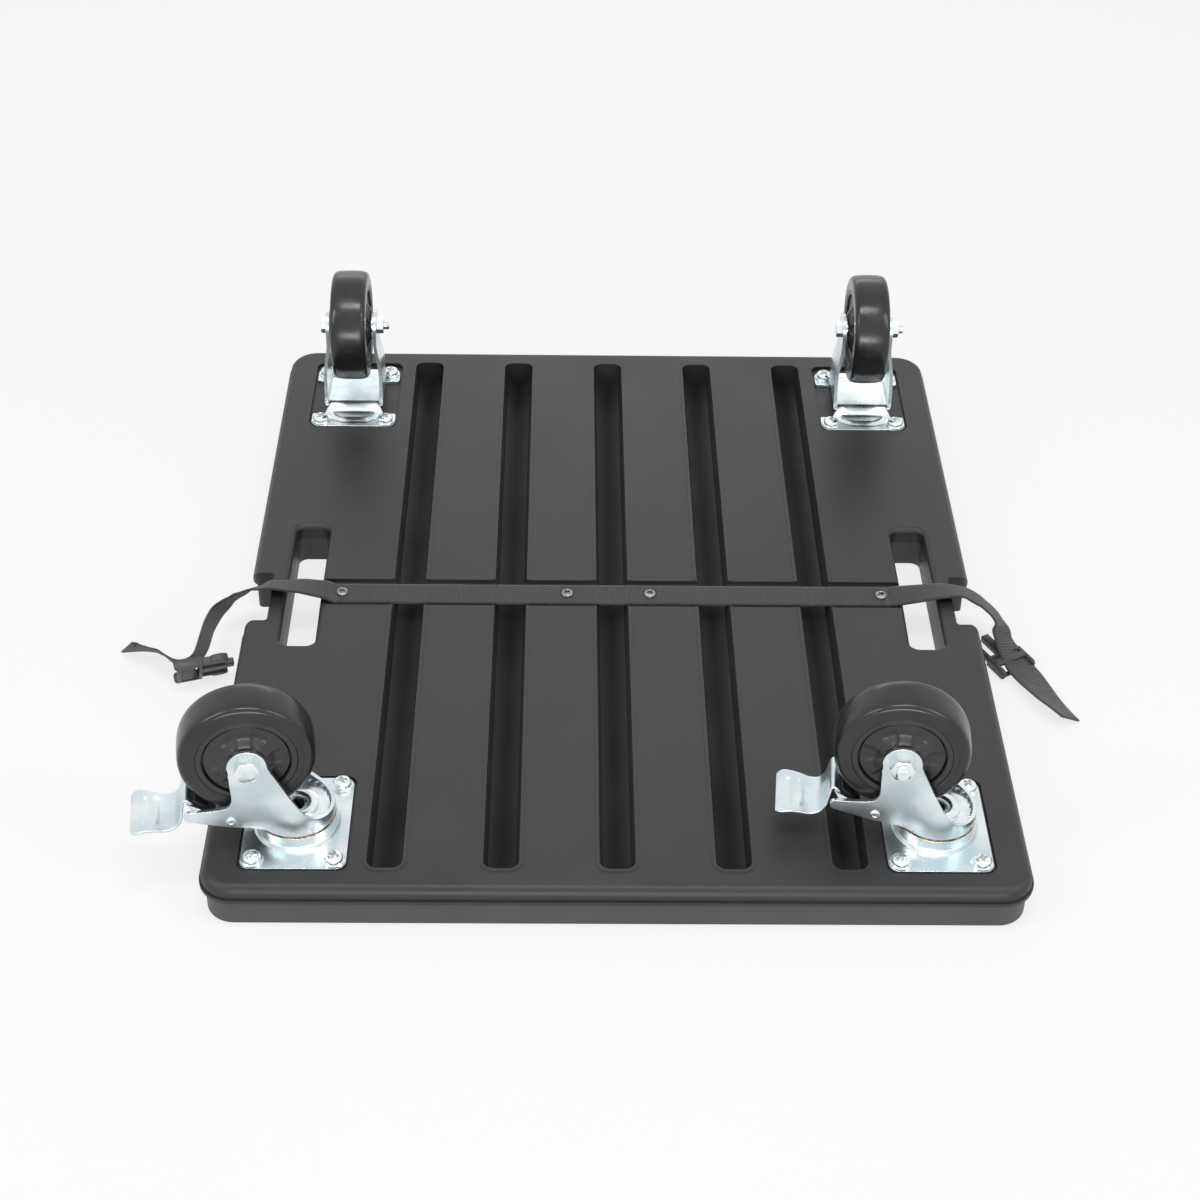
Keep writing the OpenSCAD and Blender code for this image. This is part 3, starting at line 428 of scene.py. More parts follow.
# %% Plug form
BUCKLE_W, BUCKLE_T, BASE_L, SIDE_T, COLLAR_T = 33, 9, 21.5, 3, 2.7
ARM_L, ARM_T, ARM_W, PAD_W, GUIDE_L, GUIDE_W, GUIDE_T = 23, 2.6, 6.8, 7, 28, 7, 6
PAD = [(8, 0), (10.5, 2.2), (13, 3.1), (16, 3.3), (18.5, 2.9), (21, 1.6), (22.8, 0.2),
    (22.8, -1), (8, -1)]
BARS = ((-8.5, 3.2, 1.4, 5.2), (-17.5, 2, -4.4, -1.6))
BAR_INSET, WRAP_X = 1.2, -4.2


def rounded_bar(length, depth, corner, steps=6):
    outline = []
    right, left, side = -corner, corner - length, depth / 2 - corner
    for cx, cy, start in ((right, side, 0), (left, side, 90), (left, -side, 180), (right, -side, 270)):
        for k in range(steps + 1):
            turn = math.radians(start + 90 * k / steps)
            outline.append((cx + corner * math.cos(turn), cy + corner * math.sin(turn)))
    return outline


def plug_form():
    bm = bmesh.new()
    half = BUCKLE_W / 2
    for side in (-1, 1):
        outline = rounded_bar(BASE_L, BUCKLE_T, BUCKLE_T * 0.3)
        plate = outline_plate(bm, outline, half - SIDE_T, half)
        soften(bm, tipped(bm, plate, 90 * side), 0.5)
        low, high = (side * (half - SIDE_T) + way * ARM_T / 2 for way in (-1, 1))
        soften(bm, block(bm, (-2, low, -ARM_W / 2), (ARM_L, high, ARM_W / 2)), 0.7)
        outer = half - SIDE_T + ARM_T / 2 - 0.4
        grip = [(x, side * (outer + y)) for x, y in PAD]
        soften(bm, outline_plate(bm, grip, -PAD_W / 2, PAD_W / 2), 0.6)
    reach = (COLLAR_T / 2, half, BUCKLE_T / 2)
    soften(bm, block(bm, [-v for v in reach], reach), 0.5)
    for x, wide, low, high in BARS:
        bar = block(bm, (x - wide, BAR_INSET - half, low), (x + wide, half - BAR_INSET, high))
        soften(bm, bar, 0.9, 3)
    guide = block(bm, (0, -GUIDE_W / 2, -GUIDE_T / 2), (GUIDE_L, GUIDE_W / 2, GUIDE_T / 2))
    soften(bm, guide, 0.8, 3)
    return bm


def wrap_form():
    bm = bmesh.new()
    reach = WEB_WIDTH / mm / 2
    outline = [(x + WRAP_X, y) for x, y in rounded_bar(13.6, 8.2, 3.4)]
    wrap = outline_plate(bm, outline, -reach, reach)
    weave = bm.loops.layers.uv.new("weave")
    for face in bm.faces:
        for loop in face.loops:
            across, along = loop.vert.co.z + WEB_WIDTH / 2, loop.vert.co.x + loop.vert.co.y
            loop[weave].uv = (across, along)
    soften(bm, tipped(bm, wrap), 0.4)
    return bm


left_place = at(-340, -91.5, 16.8) @ turned(17, "Z") @ turned(-59, "X")
right_place = at(330, -58, 6.5) @ turned(118, "Z")
plug_left = piece("plug_left", placed(plug_form(), left_place),
    buckle_acetal, "buckle_plastic", "platform", ["buckle_plug_left"])
plug_right = piece("plug_right", placed(plug_form(), right_place),
    buckle_acetal, "buckle_plastic", "platform", ["buckle_plug_right"])
piece("webbing_wrap_left", placed(wrap_form(), left_place), *STRAP, "platform")

# %% [markdown]
# Both free ends are flat, 25 mm wide, cut square at the end, with their plug. The
# photograph shows each from edge to tip, so its length is the route's, printed here.

for made, path, plug in ((tail_left, left_path, plug_left), (tail_right, right_path, plug_right)):
    print(made.name, "length", round(length_of(path), 3), "m")

# %% [markdown]
# ## Floor, backdrop and light
# The photograph has a white sweep with a very soft shadow. The floor is white, and most
# of what the camera sees of it is its own white, so the shadow stays but is faint. Metal
# and gloss see the same white all round. Lamps stand left, right and above, and together
# they draw the bright arc along every shoulder and edge. A weak one behind gives the
# deck its sheen, and a low one in front lights the tray's side.

# %% Floor and world
FLOOR_GLOW, WORLD_LIGHT = 0.75, 0.4


def seen_rays(tree):
    rays = add(tree, "LightPath").outputs
    seen = rays["Is Camera Ray"]
    for kind in ("Is Glossy Ray", "Is Transmission Ray"):
        both = {0: seen, 1: rays[kind]}
        seen = add(tree, "Math", both, operation="ADD", use_clamp=True).outputs[0]
    return seen


floor_white, tree, shader = finish("white_paper_floor", "#f4f4f4", 0.9)
grain(tree, shader, 400, 0.05, 0.1)
share = add(tree, "Math", {0: seen_rays(tree), 1: FLOOR_GLOW}, operation="MULTIPLY")
glow = add(tree, "Emission", {"Color": linear("#ffffff"), "Strength": 1.0})
both = add(tree, "MixShader", {0: share.outputs[0], 1: shader.outputs[0], 2: glow.outputs[0]})
tree.links.new(both.outputs[0], tree.nodes["Material Output"].inputs["Surface"])

bm = bmesh.new()
bmesh.ops.create_grid(bm, x_segments=1, y_segments=1, size=9)
bmesh.ops.translate(bm, verts=bm.verts, vec=(0, 3, -0.2 * mm))
mesh = bpy.data.meshes.new("paper_floor")
bm.to_mesh(mesh)
bm.free()
mesh.materials.append(floor_white)
floor = bpy.data.objects.new("paper_floor", mesh)
bpy.context.collection.objects.link(floor)

world = bpy.data.worlds.new("studio")
bpy.context.scene.world = world
world.use_nodes = True
tree = world.node_tree
tree.nodes.clear()
soft = add(tree, "Background", {"Color": linear("#ffffff"), "Strength": WORLD_LIGHT})
white = add(tree, "Background", {"Color": linear("#ffffff"), "Strength": 1.0})
both = add(tree, "MixShader", {0: seen_rays(tree), 1: soft.outputs[0], 2: white.outputs[0]})
add(tree, "OutputWorld", {"Surface": both.outputs[0]})

# %% Soft lamps
def lamp(name, spot, aim, width, depth, watts):
    light = bpy.data.lights.new(name, "AREA")
    light.shape, light.size, light.size_y, light.energy = "RECTANGLE", width, depth, watts
    made = bpy.data.objects.new(name, light)
    made.location = spot
    made.rotation_euler = (Vector(aim) - Vector(spot)).to_track_quat("-Z", "Y").to_euler()
    bpy.context.collection.objects.link(made)


lamp("soft_left", (-1.7, -1.0, 1.8), (0, 0, 0.05), 0.45, 1.2, 12)
lamp("soft_right", (1.7, -1.0, 1.8), (0, 0, 0.05), 0.45, 1.2, 11)
lamp("soft_above", (0, -0.5, 2.5), (0, 0, 0), 1.3, 0.4, 17)
lamp("soft_behind", (0, 3.0, 1.25), (0, 0.1, 0), 2.0, 0.7, 6)
lamp("soft_front", (0, -2.8, 0.6), (0, 0, 0.02), 1.6, 0.5, 24)
print("lamps placed")

# %% [markdown]
# ## Deck
# The CAD mouldings have the right form with knife edges. A real moulding has a small
# radius on each edge, and that thin line of light is what makes it look moulded. A copy
# of the CAD mesh is merged, its flat areas are made whole, and its edges are bevelled.
# Normals weighted by area keep the large faces flat beside their rounded edges.

# %% Copy a CAD solid with soft edges
CORNER = 28


def merged_copy(node):
    bm = bmesh.new()
    bm.from_mesh(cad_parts[node].data)
    bmesh.ops.remove_doubles(bm, verts=bm.verts, dist=0.002 * mm)
    bmesh.ops.dissolve_limit(bm, angle_limit=math.radians(0.5), verts=bm.verts, edges=bm.edges,
        use_dissolve_boundaries=False)
    return bm


def flat_faces(made):
    made.modifiers.new("flat_faces", "WEIGHTED_NORMAL").keep_sharp = True


def softened(node, name, material, slot, body, width):
    bm = merged_copy(node)
    soften(bm, bm.verts, width, angle=CORNER)
    flat_faces(piece(name, bm, material, slot, body, [node]))


# %% [markdown]
# The underside's openings have a larger radius than the lip: fingers go through the hand
# slots, so their rim is rounded most, then the channels and the groove, and everything
# else only as much as any tool leaves. The rims are found by their height and place.

# %% Underside and tray
DECK_TOP, CHANNELS_X, STRAP_WAY_Y, GROOVE_FLOOR = 38, 190, 60, 35
SLOT_X, SLOT_Y = (240, 280), (-92, 84)
LAND_R, SLOT_R, CHANNEL_R, MOULD_R, TRAY_R = 5, 5, 1.8, 0.6, 1.2


def is_land_corner(edge):
    low, high = sorted(v.co.z / mm for v in edge.verts)
    return high - low > 2 and low > GROOVE_FLOOR - 0.1 and all(
        abs(v.co.x / mm) < CHANNELS_X and abs(v.co.y / mm) < STRAP_WAY_Y for v in edge.verts)


def in_slot(p):
    return SLOT_X[0] < abs(p.x) < SLOT_X[1] and SLOT_Y[0] < p.y < SLOT_Y[1]


def in_channels(p):
    return abs(p.x) < CHANNELS_X


def round_rim(bm, wanted, width, segments, clamp=True):
    rim = {v for v in bm.verts if abs(v.co.z - DECK_TOP * mm) < 0.01 * mm and wanted(v.co / mm)}
    edges = [e for e in bm.edges if rim.issuperset(e.verts) and is_corner(e, CORNER)]
    rounded(bm, edges, width, segments, clamp)
    print(wanted.__name__, "rim edges", len(edges))


bm = merged_copy("underside_shell")
rounded(bm, [e for e in bm.edges if is_land_corner(e)], LAND_R, 6)
round_rim(bm, in_slot, SLOT_R, 6, clamp=False)
round_rim(bm, in_channels, CHANNEL_R, 4)
soften(bm, bm.verts, MOULD_R, angle=40)
deck = piece("underside_moulding", bm, deck_plastic, "deck_plastic", "platform", ["underside_shell"])
flat_faces(deck)
softened("deck_tray", "tray_moulding", tray_plastic, "tray_plastic", "platform", TRAY_R)

# %% [markdown]
# ## Held strap and its screws
# Between the two edges the strap lies flat in its groove and bridges the channels, so
# it is a straight ribbon with the same weave. Four dull dome-head screws hold it.

# %% Held strap
STRAP_Y, STRAP_Z, STRAP_TOP, STRAP_END = -16, 35.8, 36.6, 234
held = [Vector((x, STRAP_Y, STRAP_Z, 0)) for x in range(-STRAP_END, STRAP_END + 1, 4)]
thicken(piece("webbing_held", ribbon(held)[0], *STRAP, "platform", ["strap_webbing"]), WEB_THICK)

# %% [markdown]
# A turned form is a profile of radius and height spun once round the z axis. The spin
# merges its seam, and normals are made to point outwards after the merge.

# %% Spin a profile
def spun(bm, profile, steps=32, closed=True):
    verts = [bm.verts.new((r * mm, 0, z * mm)) for r, z in profile]
    edges = [bm.edges.new(pair) for pair in zip(verts, verts[1:] + (verts[:1] if closed else []))]
    bmesh.ops.spin(bm, geom=verts + edges, cent=(0, 0, 0), axis=(0, 0, 1), dvec=(0, 0, 0),
        angle=2 * math.pi, steps=steps, use_merge=True)
    bmesh.ops.remove_doubles(bm, verts=bm.verts, dist=0.0005 * mm)
    bmesh.ops.recalc_face_normals(bm, faces=bm.faces)
    return bm


def circle_point(cx, cz, r, degrees):
    return cx + r * math.cos(math.radians(degrees)), cz + r * math.sin(math.radians(degrees))


def arc(cx, cz, r, start, end, steps):
    return [circle_point(cx, cz, r, start + (end - start) * k / steps) for k in range(steps + 1)]


def repeat(source, places):
    mesh = bpy.data.meshes.new("once")
    source.to_mesh(mesh)
    source.free()
    bm = bmesh.new()
    for place in places:
        before = len(bm.verts)
        bm.from_mesh(mesh)
        bm.verts.ensure_lookup_table()
        bmesh.ops.transform(bm, matrix=place, verts=bm.verts[before:])
    bpy.data.meshes.remove(mesh)
    return bm


def polar(vert):
    x, y = vert.co.xy
    return math.hypot(x, y) / mm, math.degrees(math.atan2(y, x))


# %% [markdown]
# The strap screws have a low dome with a hexagon socket. The socket starts as a round
# step in the profile, and its ring is then drawn out to a hexagon.

# %% Strap screws
STRAP_SCREWS_X = (-228, -38, 32, 228)
bm = bmesh.new()
dome = arc(3.2, 0.9, 2.0, 0, 75, 4)
socket = [(2.9, 3.0), (2.5, 2.8), (2.5, 1.3), (0, 1.3)]
spun(bm, [(0, -4), (1.7, -4), (1.7, 0), (5.2, 0), *dome, *socket], 36, closed=False)
for vert in bm.verts:
    radius, turn = polar(vert)
    if vert.co.z > 1.2 * mm and 2.2 < radius < 2.95:
        vert.co.xy *= 1.12 * math.cos(math.radians(30)) / math.cos(math.radians(turn % 60 - 30))
screws = repeat(bm, [at(x, STRAP_Y, STRAP_TOP) for x in STRAP_SCREWS_X])
piece("strap_screw_heads", screws, strap_steel, "screw_steel", "platform", ["strap_screws"])

# %% [markdown]
# ## Caster screws and washers
# A pan head with a cross recess is easiest on a square grid: the grid is bent to a disc
# and a dome, the faces of its middle row and column are pushed in as the cross, and its
# rim is extruded down to the washer.

# %% Pan head screws on washers
CASTER_X, SWIVEL_Y, RIGID_Y, BOLT_X, BOLT_Y = 238.5, -294, 281, 30, 40
PAN_R, PAN_H, WASHER_R, WASHER_T, HOLE_R = 7, 4.6, 8.5, 1.6, 4.1


def pan_head():
    bm = bmesh.new()
    bmesh.ops.create_grid(bm, x_segments=11, y_segments=11, size=1)
    middles = {f: [abs(c) for c in f.calc_center_median().xy] for f in bm.faces}
    cross = [f for f, middle in middles.items() if min(middle) < 0.05 and max(middle) < 0.5]
    for vert in bm.verts:
        x, y = vert.co.xy
        x, y = x * math.sqrt(1 - y * y / 2), y * math.sqrt(1 - x * x / 2)
        dome = math.sqrt(max(0, 1 - 0.98 * (x * x + y * y) ** 1.5))
        vert.co = (x * PAN_R * mm, y * PAN_R * mm, PAN_H * mm * (0.42 + 0.58 * dome))
    rim = [e for e in bm.edges if e.is_boundary]
    for vert in new_verts(bmesh.ops.extrude_edge_only(bm, edges=rim)["geom"]):
        vert.co.z = 0
    for vert in new_verts(bmesh.ops.extrude_face_region(bm, geom=cross)["geom"]):
        vert.co = (vert.co.x * 0.8, vert.co.y * 0.8, PAN_H * 0.45 * mm)
    bmesh.ops.recalc_face_normals(bm, faces=bm.faces)
    return bm


bolts = [(sx * CASTER_X + bx, y + by) for sx in (-1, 1) for y in (SWIVEL_Y, RIGID_Y)
    for bx in (-BOLT_X, BOLT_X) for by in (-BOLT_Y, BOLT_Y)]
heads = repeat(pan_head(), [at(x, y, DECK_TOP + WASHER_T) @ turned(37 * i, "Z")
    for i, (x, y) in enumerate(bolts)])
piece("pan_heads", heads, *BOLT, "platform", ["caster_screws"], crease=50)
washer = spun(bmesh.new(), [(HOLE_R, 0), (WASHER_R - 0.3, 0), (WASHER_R, 0.3),
    (WASHER_R, WASHER_T - 0.4), (WASHER_R - 0.4, WASHER_T), (HOLE_R, WASHER_T)])
washers = repeat(washer, [at(x, y, DECK_TOP) for x, y in bolts])
piece("plain_washers", washers, *TURNED, "platform", ["caster_washers"])

# %% [markdown]
# ## Wheels
# A wheel is a tyre cast round a moulded hub. The tread is a little crowned and its
# shoulders are rounded by about 5 mm. On each side a fine raised line marks the seam,
# and inside it the hub has its rim, a groove, a disc and a boss with the bearing in it.
# Both are spun round z and then turned onto their axle.

# %% Tyre profile
def smooth(t):
    t = min(1, max(0, t))
    return t * t * (3 - 2 * t)


def mirrored(profile):
    return profile + [(r, -z) for r, z in reversed(profile)]


def tyre_form():
    crown = [(50, 0), (49.96, 4), (49.82, 8), (49.5, 10.8)]
    seam = [(41.0, 16), (40.8, 15.8), (37.0, 15.8), (36.8, 15.6), (36.66, 15.2)]
    upper = crown + arc(44.5, 11.2, 4.8, 12, 90, 9) + seam
    return spun(bmesh.new(), mirrored(upper)[:-1], 128)


# %% [markdown]
# The hub's disc lies nearly flush inside a narrow dark groove. Six petals are sunk in it,
# deepest at their round inner tips and running out towards the groove, and the disc
# rises in a cone to the boss. The profile is spun and the petals are pressed in as
# heights.

# %% Hub with sunk petals
DISC_R, DISC_Z, CONE_R, CONE_RISE = 30.7, 13.6, 22.5, 4.4
PETAL_FROM, PETAL_LONG, PETAL_HALF = 13.4, 17.2, 8.4


def petal_depth(r, turn):
    lateral = (turn + 30) % 60 - 30
    reach = (r - PETAL_FROM) / PETAL_LONG
    if not 0 < reach < 1:
        return 0
    half = PETAL_HALF * reach ** 0.45
    across = abs(r * math.sin(math.radians(lateral))) / half
    return (1.3 * (1 - reach) ** 0.8 + 0.3) * max(0, 1 - across ** 5)


def hub_form(first):
    rim = [(36.6, 15.1), (36.5, 15.5), (36.2, 15.6), (32.9, 15.6), (32.5, 15.4), (32.3, 14.9),
        (32.2, 9.6), (30.9, 9.6), (30.8, 13.1)]
    radii = [DISC_R - PETAL_LONG * k / 26 for k in range(27)]
    disc = [(r, DISC_Z + CONE_RISE * smooth((CONE_R - r) / 9)) for r in radii]
    boss = [(13.2, 18.1), (12.6, 18.5), (11.05, 18.5), (11.05, 11.5), (8.6, 11.5)]
    bm = spun(bmesh.new(), mirrored(rim + disc + boss), 180)
    for vert in bm.verts:
        r, turn = polar(vert)
        if abs(vert.co.z) > 13 * mm:
            vert.co.z -= math.copysign(petal_depth(r, turn - first) * mm, vert.co.z)
    return bm


# %% [markdown]
# A swivel caster is drawn with its trail along x and then turned as it stands in the
# photograph, so its pieces share one place. Both rows have their axle at one height.

# %% Wheels on their axles
AXLE_Z, TRAIL = 79.5, 32
SIDES = ((-1, "left"), (1, "right"))
FORK_TURN = {-1: 7.7, 1: -5.4}
FIRST_PETAL = {-1: -2, 1: 1.5}


def in_fork(side):
    return at(side * CASTER_X, SWIVEL_Y, DECK_TOP) @ turned(180 + FORK_TURN[side], "Z")


def wheel_place(row, side):
    if row == "front":
        return in_fork(side) @ at(TRAIL, 0, AXLE_Z) @ turned(90, "X")
    return at(side * CASTER_X, RIGID_Y, DECK_TOP + AXLE_Z) @ turned(90, "Y")


for row in ("front", "rear"):
    for side, word in SIDES:
        place, wheel = wheel_place(row, side), f"wheel_{row}_{word}"
        piece(f"cast_tyre_{row}_{word}", placed(tyre_form(), place), tread_black, "tread",
            wheel, [f"tyre_{row}_{word}"])
        piece(f"ribbed_hub_{row}_{word}", placed(hub_form(FIRST_PETAL[side]), place), hub_black,
            "hub_plastic", wheel, [f"hub_{row}_{word}"], 60)

# %% [markdown]
# ## Bolts and nuts
# A hexagon head is cut from bar, and its top is chamfered by a cone, which leaves the
# round line across the six corners. A disc of 48 points carries both outlines: the
# round top, then the hexagon below it at the height where the cone meets each point.
# A bolt is given by half its clamped length, its shank's radius and its corners' radius.
# The heights of head and nut are in shank radii.

# %% Hexagon with a turned chamfer
FORK_BOLT, REAR_BOLT, HEAD_RISE, NUT_RISE = (5, 9.6), (4, 7.5), 1.28, 1.6
PITCH, THREAD_DEPTH, TOP_SHARE, CONE = 0.8, 0.45, 0.97, math.radians(30)
LEG_Y, SHEET = 19.5, 3
LEG_SPLAY, LEG_FOOT_X, LEG_FOOT_Z = 3, 27, 4.5


def open_ring(bm, ring):
    return [e for e in bm.edges if e.is_boundary and all(v in ring for v in e.verts)]


def hexagon(bm, corner_r, low, high, up=1):
    flat_r = corner_r * math.cos(math.radians(30))
    top_r = TOP_SHARE * flat_r
    ring = bmesh.ops.create_circle(bm, cap_ends=True, segments=48, radius=top_r * mm)["verts"]
    for vert in ring:
        vert.co.z = high * mm
    for chamfer in (True, False):
        ring = new_verts(bmesh.ops.extrude_edge_only(bm, edges=open_ring(bm, ring))["geom"])
        for vert in ring:
            now, turn = polar(vert)
            radius = flat_r / math.cos(math.radians(turn % 60 - 30))
            drop = (radius - top_r) * math.tan(CONE)
            z, scale = high - up * drop if chamfer else low, radius / now
            vert.co = (vert.co.x * scale, vert.co.y * scale, z * mm)
    bmesh.ops.edgeloop_fill(bm, edges=open_ring(bm, ring))


def bolt_form(half, r, corner_r):
    bm = bmesh.new()
    hexagon(bm, corner_r, half, half + HEAD_RISE * r)
    end = -half - NUT_RISE * r
    thread = []
    for k in range(5):
        thread += [(r - THREAD_DEPTH, end - 0.2 - PITCH * k), (r, end - 0.6 - PITCH * k)]
    tip = [(r - 0.6, end - 4.5), (r - 1.1, end - 5), (0, end - 5)]
    return spun(bm, [(0, half), (r, half), (r, end), *thread, *tip], closed=False)


def nut_form(half, r, corner_r):
    bm = bmesh.new()
    hexagon(bm, corner_r, -half, -half - NUT_RISE * r, -1)
    bmesh.ops.recalc_face_normals(bm, faces=bm.faces)
    return bm


half = LEG_Y + SHEET
for side, word in SIDES:
    heads_out = turned(180 if side < 0 else 0, "Z")
    place = in_fork(side) @ at(TRAIL, 0, AXLE_Z) @ heads_out @ turned(90, "X")
    bolt, nut = (placed(form(half, *FORK_BOLT), place) for form in (bolt_form, nut_form))
    piece(f"axle_bolt_{word}", bolt, *BOLT, f"swivel_{word}", [f"fork_axle_{word}"])
    piece(f"axle_nut_{word}", nut, *BOLT, f"swivel_{word}", [f"fork_axle_nut_{word}"])

half = LEG_FOOT_X - (AXLE_Z - LEG_FOOT_Z) * math.tan(math.radians(LEG_SPLAY))
places = [at(side * CASTER_X, RIGID_Y, DECK_TOP + AXLE_Z) @ turned(-90, "Z") @ turned(90, "X")
    for side in (-1, 1)]
bolts, nuts = (repeat(form(half, *REAR_BOLT), places) for form in (bolt_form, nut_form))
piece("rear_bolts", bolts, *BOLT, "platform", ["rear_axles"])
piece("rear_nuts", nuts, *BOLT, "platform", ["rear_axle_nuts"])

# %% [markdown]
# ## Swivel heads
# The plate, its ball cup and the fork are pressed from 3 mm sheet, so they keep the
# CAD's form with edges rounded by the tool. The kingpin is turned and flared, and the
# lock ring is a wavy washer that the brake's tooth drops into. A bead of yellow grease
# shows in the gap between the fork's skirt and the cup.

# %% Plates, forks, kingpins and lock rings
RING_R, RING_HOLE_R, RING_T, RING_Z, RING_POINTS = 25, 8.05, 1.8, 17.3, 240
TEETH, TOOTH_MID_R, TOOTH_HALF = 30, 24.35, 0.65
PLATE_EDGE, SHOE_EDGE = 0.7, 0.8


def kingpin_form():
    bore = [(6, 3), (6, 18.6), (7.2, 19.2), (9.2, 19.7), (10.2, 21.0)]
    flare = [(11.2, 21.7), (12.6, 21.75), (15.6, 21.6), (16.7, 21.0), (17, 20.3), (16.8, 19.2)]
    shank = [(8, 19.1), (8, 6), (13, 6), (13, 3.4)]
    return spun(bmesh.new(), bore + flare + shank, 64)


def lock_ring_form():
    bm = bmesh.new()
    rim = bmesh.ops.create_circle(bm, segments=RING_POINTS, radius=RING_R * mm)["verts"]
    for vert in rim:
        tooth = math.tanh(2.2 * math.cos(TEETH * math.atan2(vert.co.y, vert.co.x)))
        vert.co *= (TOOTH_MID_R - TOOTH_HALF * tooth) / RING_R
    bmesh.ops.create_circle(bm, segments=RING_POINTS, radius=RING_HOLE_R * mm)
    bmesh.ops.bridge_loops(bm, edges=bm.edges)
    raised = bmesh.ops.extrude_face_region(bm, geom=bm.faces[:], use_keep_orig=True)["geom"]
    bmesh.ops.translate(bm, verts=new_verts(raised), vec=(0, 0, RING_T * mm))
    bmesh.ops.recalc_face_normals(bm, faces=bm.faces)
    return bm


def grease_form():
    bead = [(26.6, 11.5), (28.9, 11.5), (29.2, 12.0), (28.8, 12.5), (26.6, 12.6)]
    bm = spun(bmesh.new(), bead, 120)
    for vert in bm.verts:
        turn = math.atan2(vert.co.y, vert.co.x)
        if vert.co.xy.length > 28 * mm:
            vert.co.xy *= 1 + 0.008 * math.sin(7 * turn) * math.sin(19 * turn + 1)
    return bm


for side, word in SIDES:
    post = at(side * CASTER_X, SWIVEL_Y, DECK_TOP)
    piece(f"race_grease_{word}", placed(grease_form(), post), grease, "ball_steel", "platform")
    piece(f"flared_kingpin_{word}", placed(kingpin_form(), post), *TURNED, "platform",
        [f"kingpin_{word}"])
    piece(f"wavy_ring_{word}", placed(lock_ring_form(), post @ at(0, 0, RING_Z)), *TURNED,
        "platform", [f"lock_ring_{word}"])
    softened(f"swivel_plate_{word}", f"cup_plate_{word}", *ZINC, "platform", PLATE_EDGE)

# %% [markdown]
# ## Pressed forks
# A fork's wall is one sheet that runs from one tail round the head to the other. It is
# drawn flat first, as the blank that the press gets, with its length measured along
# the bend. Cuts turn it into a grid that can bend, and then it is rolled round the
# head and leaned in towards the legs. The head's floor is spun.

# %% Fork wall from its flat blank
HEAD_R, LEG_MID, EYE_R = 27.5, LEG_Y + SHEET / 2, 14.5
QUARTER = HEAD_R * math.pi / 2
LEAN, LEAN_FROM, LEAN_LONG, NARROWS_OVER = 0.75, 24, 36, 30
REAR_EDGE = [(-27.5, 22), (-24.5, 22.1), (-19, 23.4), (-13, 26.2), (-8.5, 29.8), (-4.5, 34),
    (5.2, 50.8), (13, 67.5), (17.3, 77)]
FRONT_EDGE = [(46.3, 72), (45.7, 60), (45.4, 50), (46.6, 44.6), (49.6, 41.4), (54, 40.2),
    (64, 39.5), (74, 39.5)]
LOWER_EDGE = [(76, 30.3), (63, 26.4), (50, 22.8), (37, 20.2), (23.5, 17.2), (15, 13.7),
    (8, 12.8), (-14, 12.8), (-27.5, 12.8)]
HEAD_FLOOR = [(8.1, 14), (25.2, 14), (26.6, 14.8), (26.6, 19), (25.8, 17.9), (24.2, 17.1),
    (8.1, 17)]


def unrolled(x):
    return HEAD_R * math.acos(-x / HEAD_R) if x < 0 else QUARTER + x


def drawn(points):
    return [(p.x, p.z) for p in smooth_route([(x, 0, z) for x, z in points], 4)]


def wall_half(x, z):
    lean = 1 - LEAN * smooth((z - LEAN_FROM) / LEAN_LONG)
    return LEG_MID + (HEAD_R - LEG_MID) * lean * (1 - smooth(x / NARROWS_OVER))


def fork_blank():
    eye, tip = arc(TRAIL, AXLE_Z, EYE_R, 172, 0, 18), arc(76.5, 35, 4.5, 85, -70, 8)
    outline = drawn(REAR_EDGE) + eye + drawn(FRONT_EDGE) + tip + drawn(LOWER_EDGE)
    half = [(unrolled(max(-HEAD_R, x)), z) for x, z in outline]
    return half + [(-u, z) for u, z in reversed(half[1:-1])]


def steps_between(low, high, step):
    count = round((high - low) / step)
    return [low + (high - low) * k / count for k in range(1, count)]


def grid_of(blank, across, up):
    bm = bmesh.new()
    bmesh.ops.create_circle(bm, cap_ends=True, segments=len(blank), radius=mm)
    bm.verts.ensure_lookup_table()
    for vert, (u, z) in zip(bm.verts, blank):
        vert.co = (u * mm, 0, z * mm)
    for i, axis, step in ((0, Vector((1, 0, 0)), across), (1, Vector((0, 0, 1)), up)):
        reach = [p[i] for p in blank]
        for cut in steps_between(min(reach), max(reach), step):
            bmesh.ops.bisect_plane(bm, geom=bm.verts[:] + bm.edges[:] + bm.faces[:],
                dist=0.05 * mm, plane_co=axis * cut * mm, plane_no=axis)
    bmesh.ops.remove_doubles(bm, verts=bm.verts, dist=0.6 * mm)
    return bm


def fork_wall():
    bm = grid_of(fork_blank(), 2.5, 3.5)
    for vert in bm.verts:
        u, z, side = abs(vert.co.x) / mm, vert.co.z / mm, math.copysign(1, vert.co.x)
        if u < QUARTER:
            x, y = -HEAD_R * math.cos(u / HEAD_R), math.sin(u / HEAD_R) * wall_half(0, z)
        else:
            x, y = u - QUARTER, wall_half(u - QUARTER, z)
        vert.co = (x * mm, side * y * mm, z * mm)
    bmesh.ops.recalc_face_normals(bm, faces=bm.faces)
    return bm


def pressed_sheet(made, thickness=SHEET, sharp=50, harden=True):
    thicken(made, thickness * mm)
    edge = made.modifiers.new("edge", "BEVEL")
    edge.width, edge.segments, edge.limit_method = 0.5 * mm, 2, "ANGLE"
    edge.angle_limit, edge.harden_normals = math.radians(sharp), harden


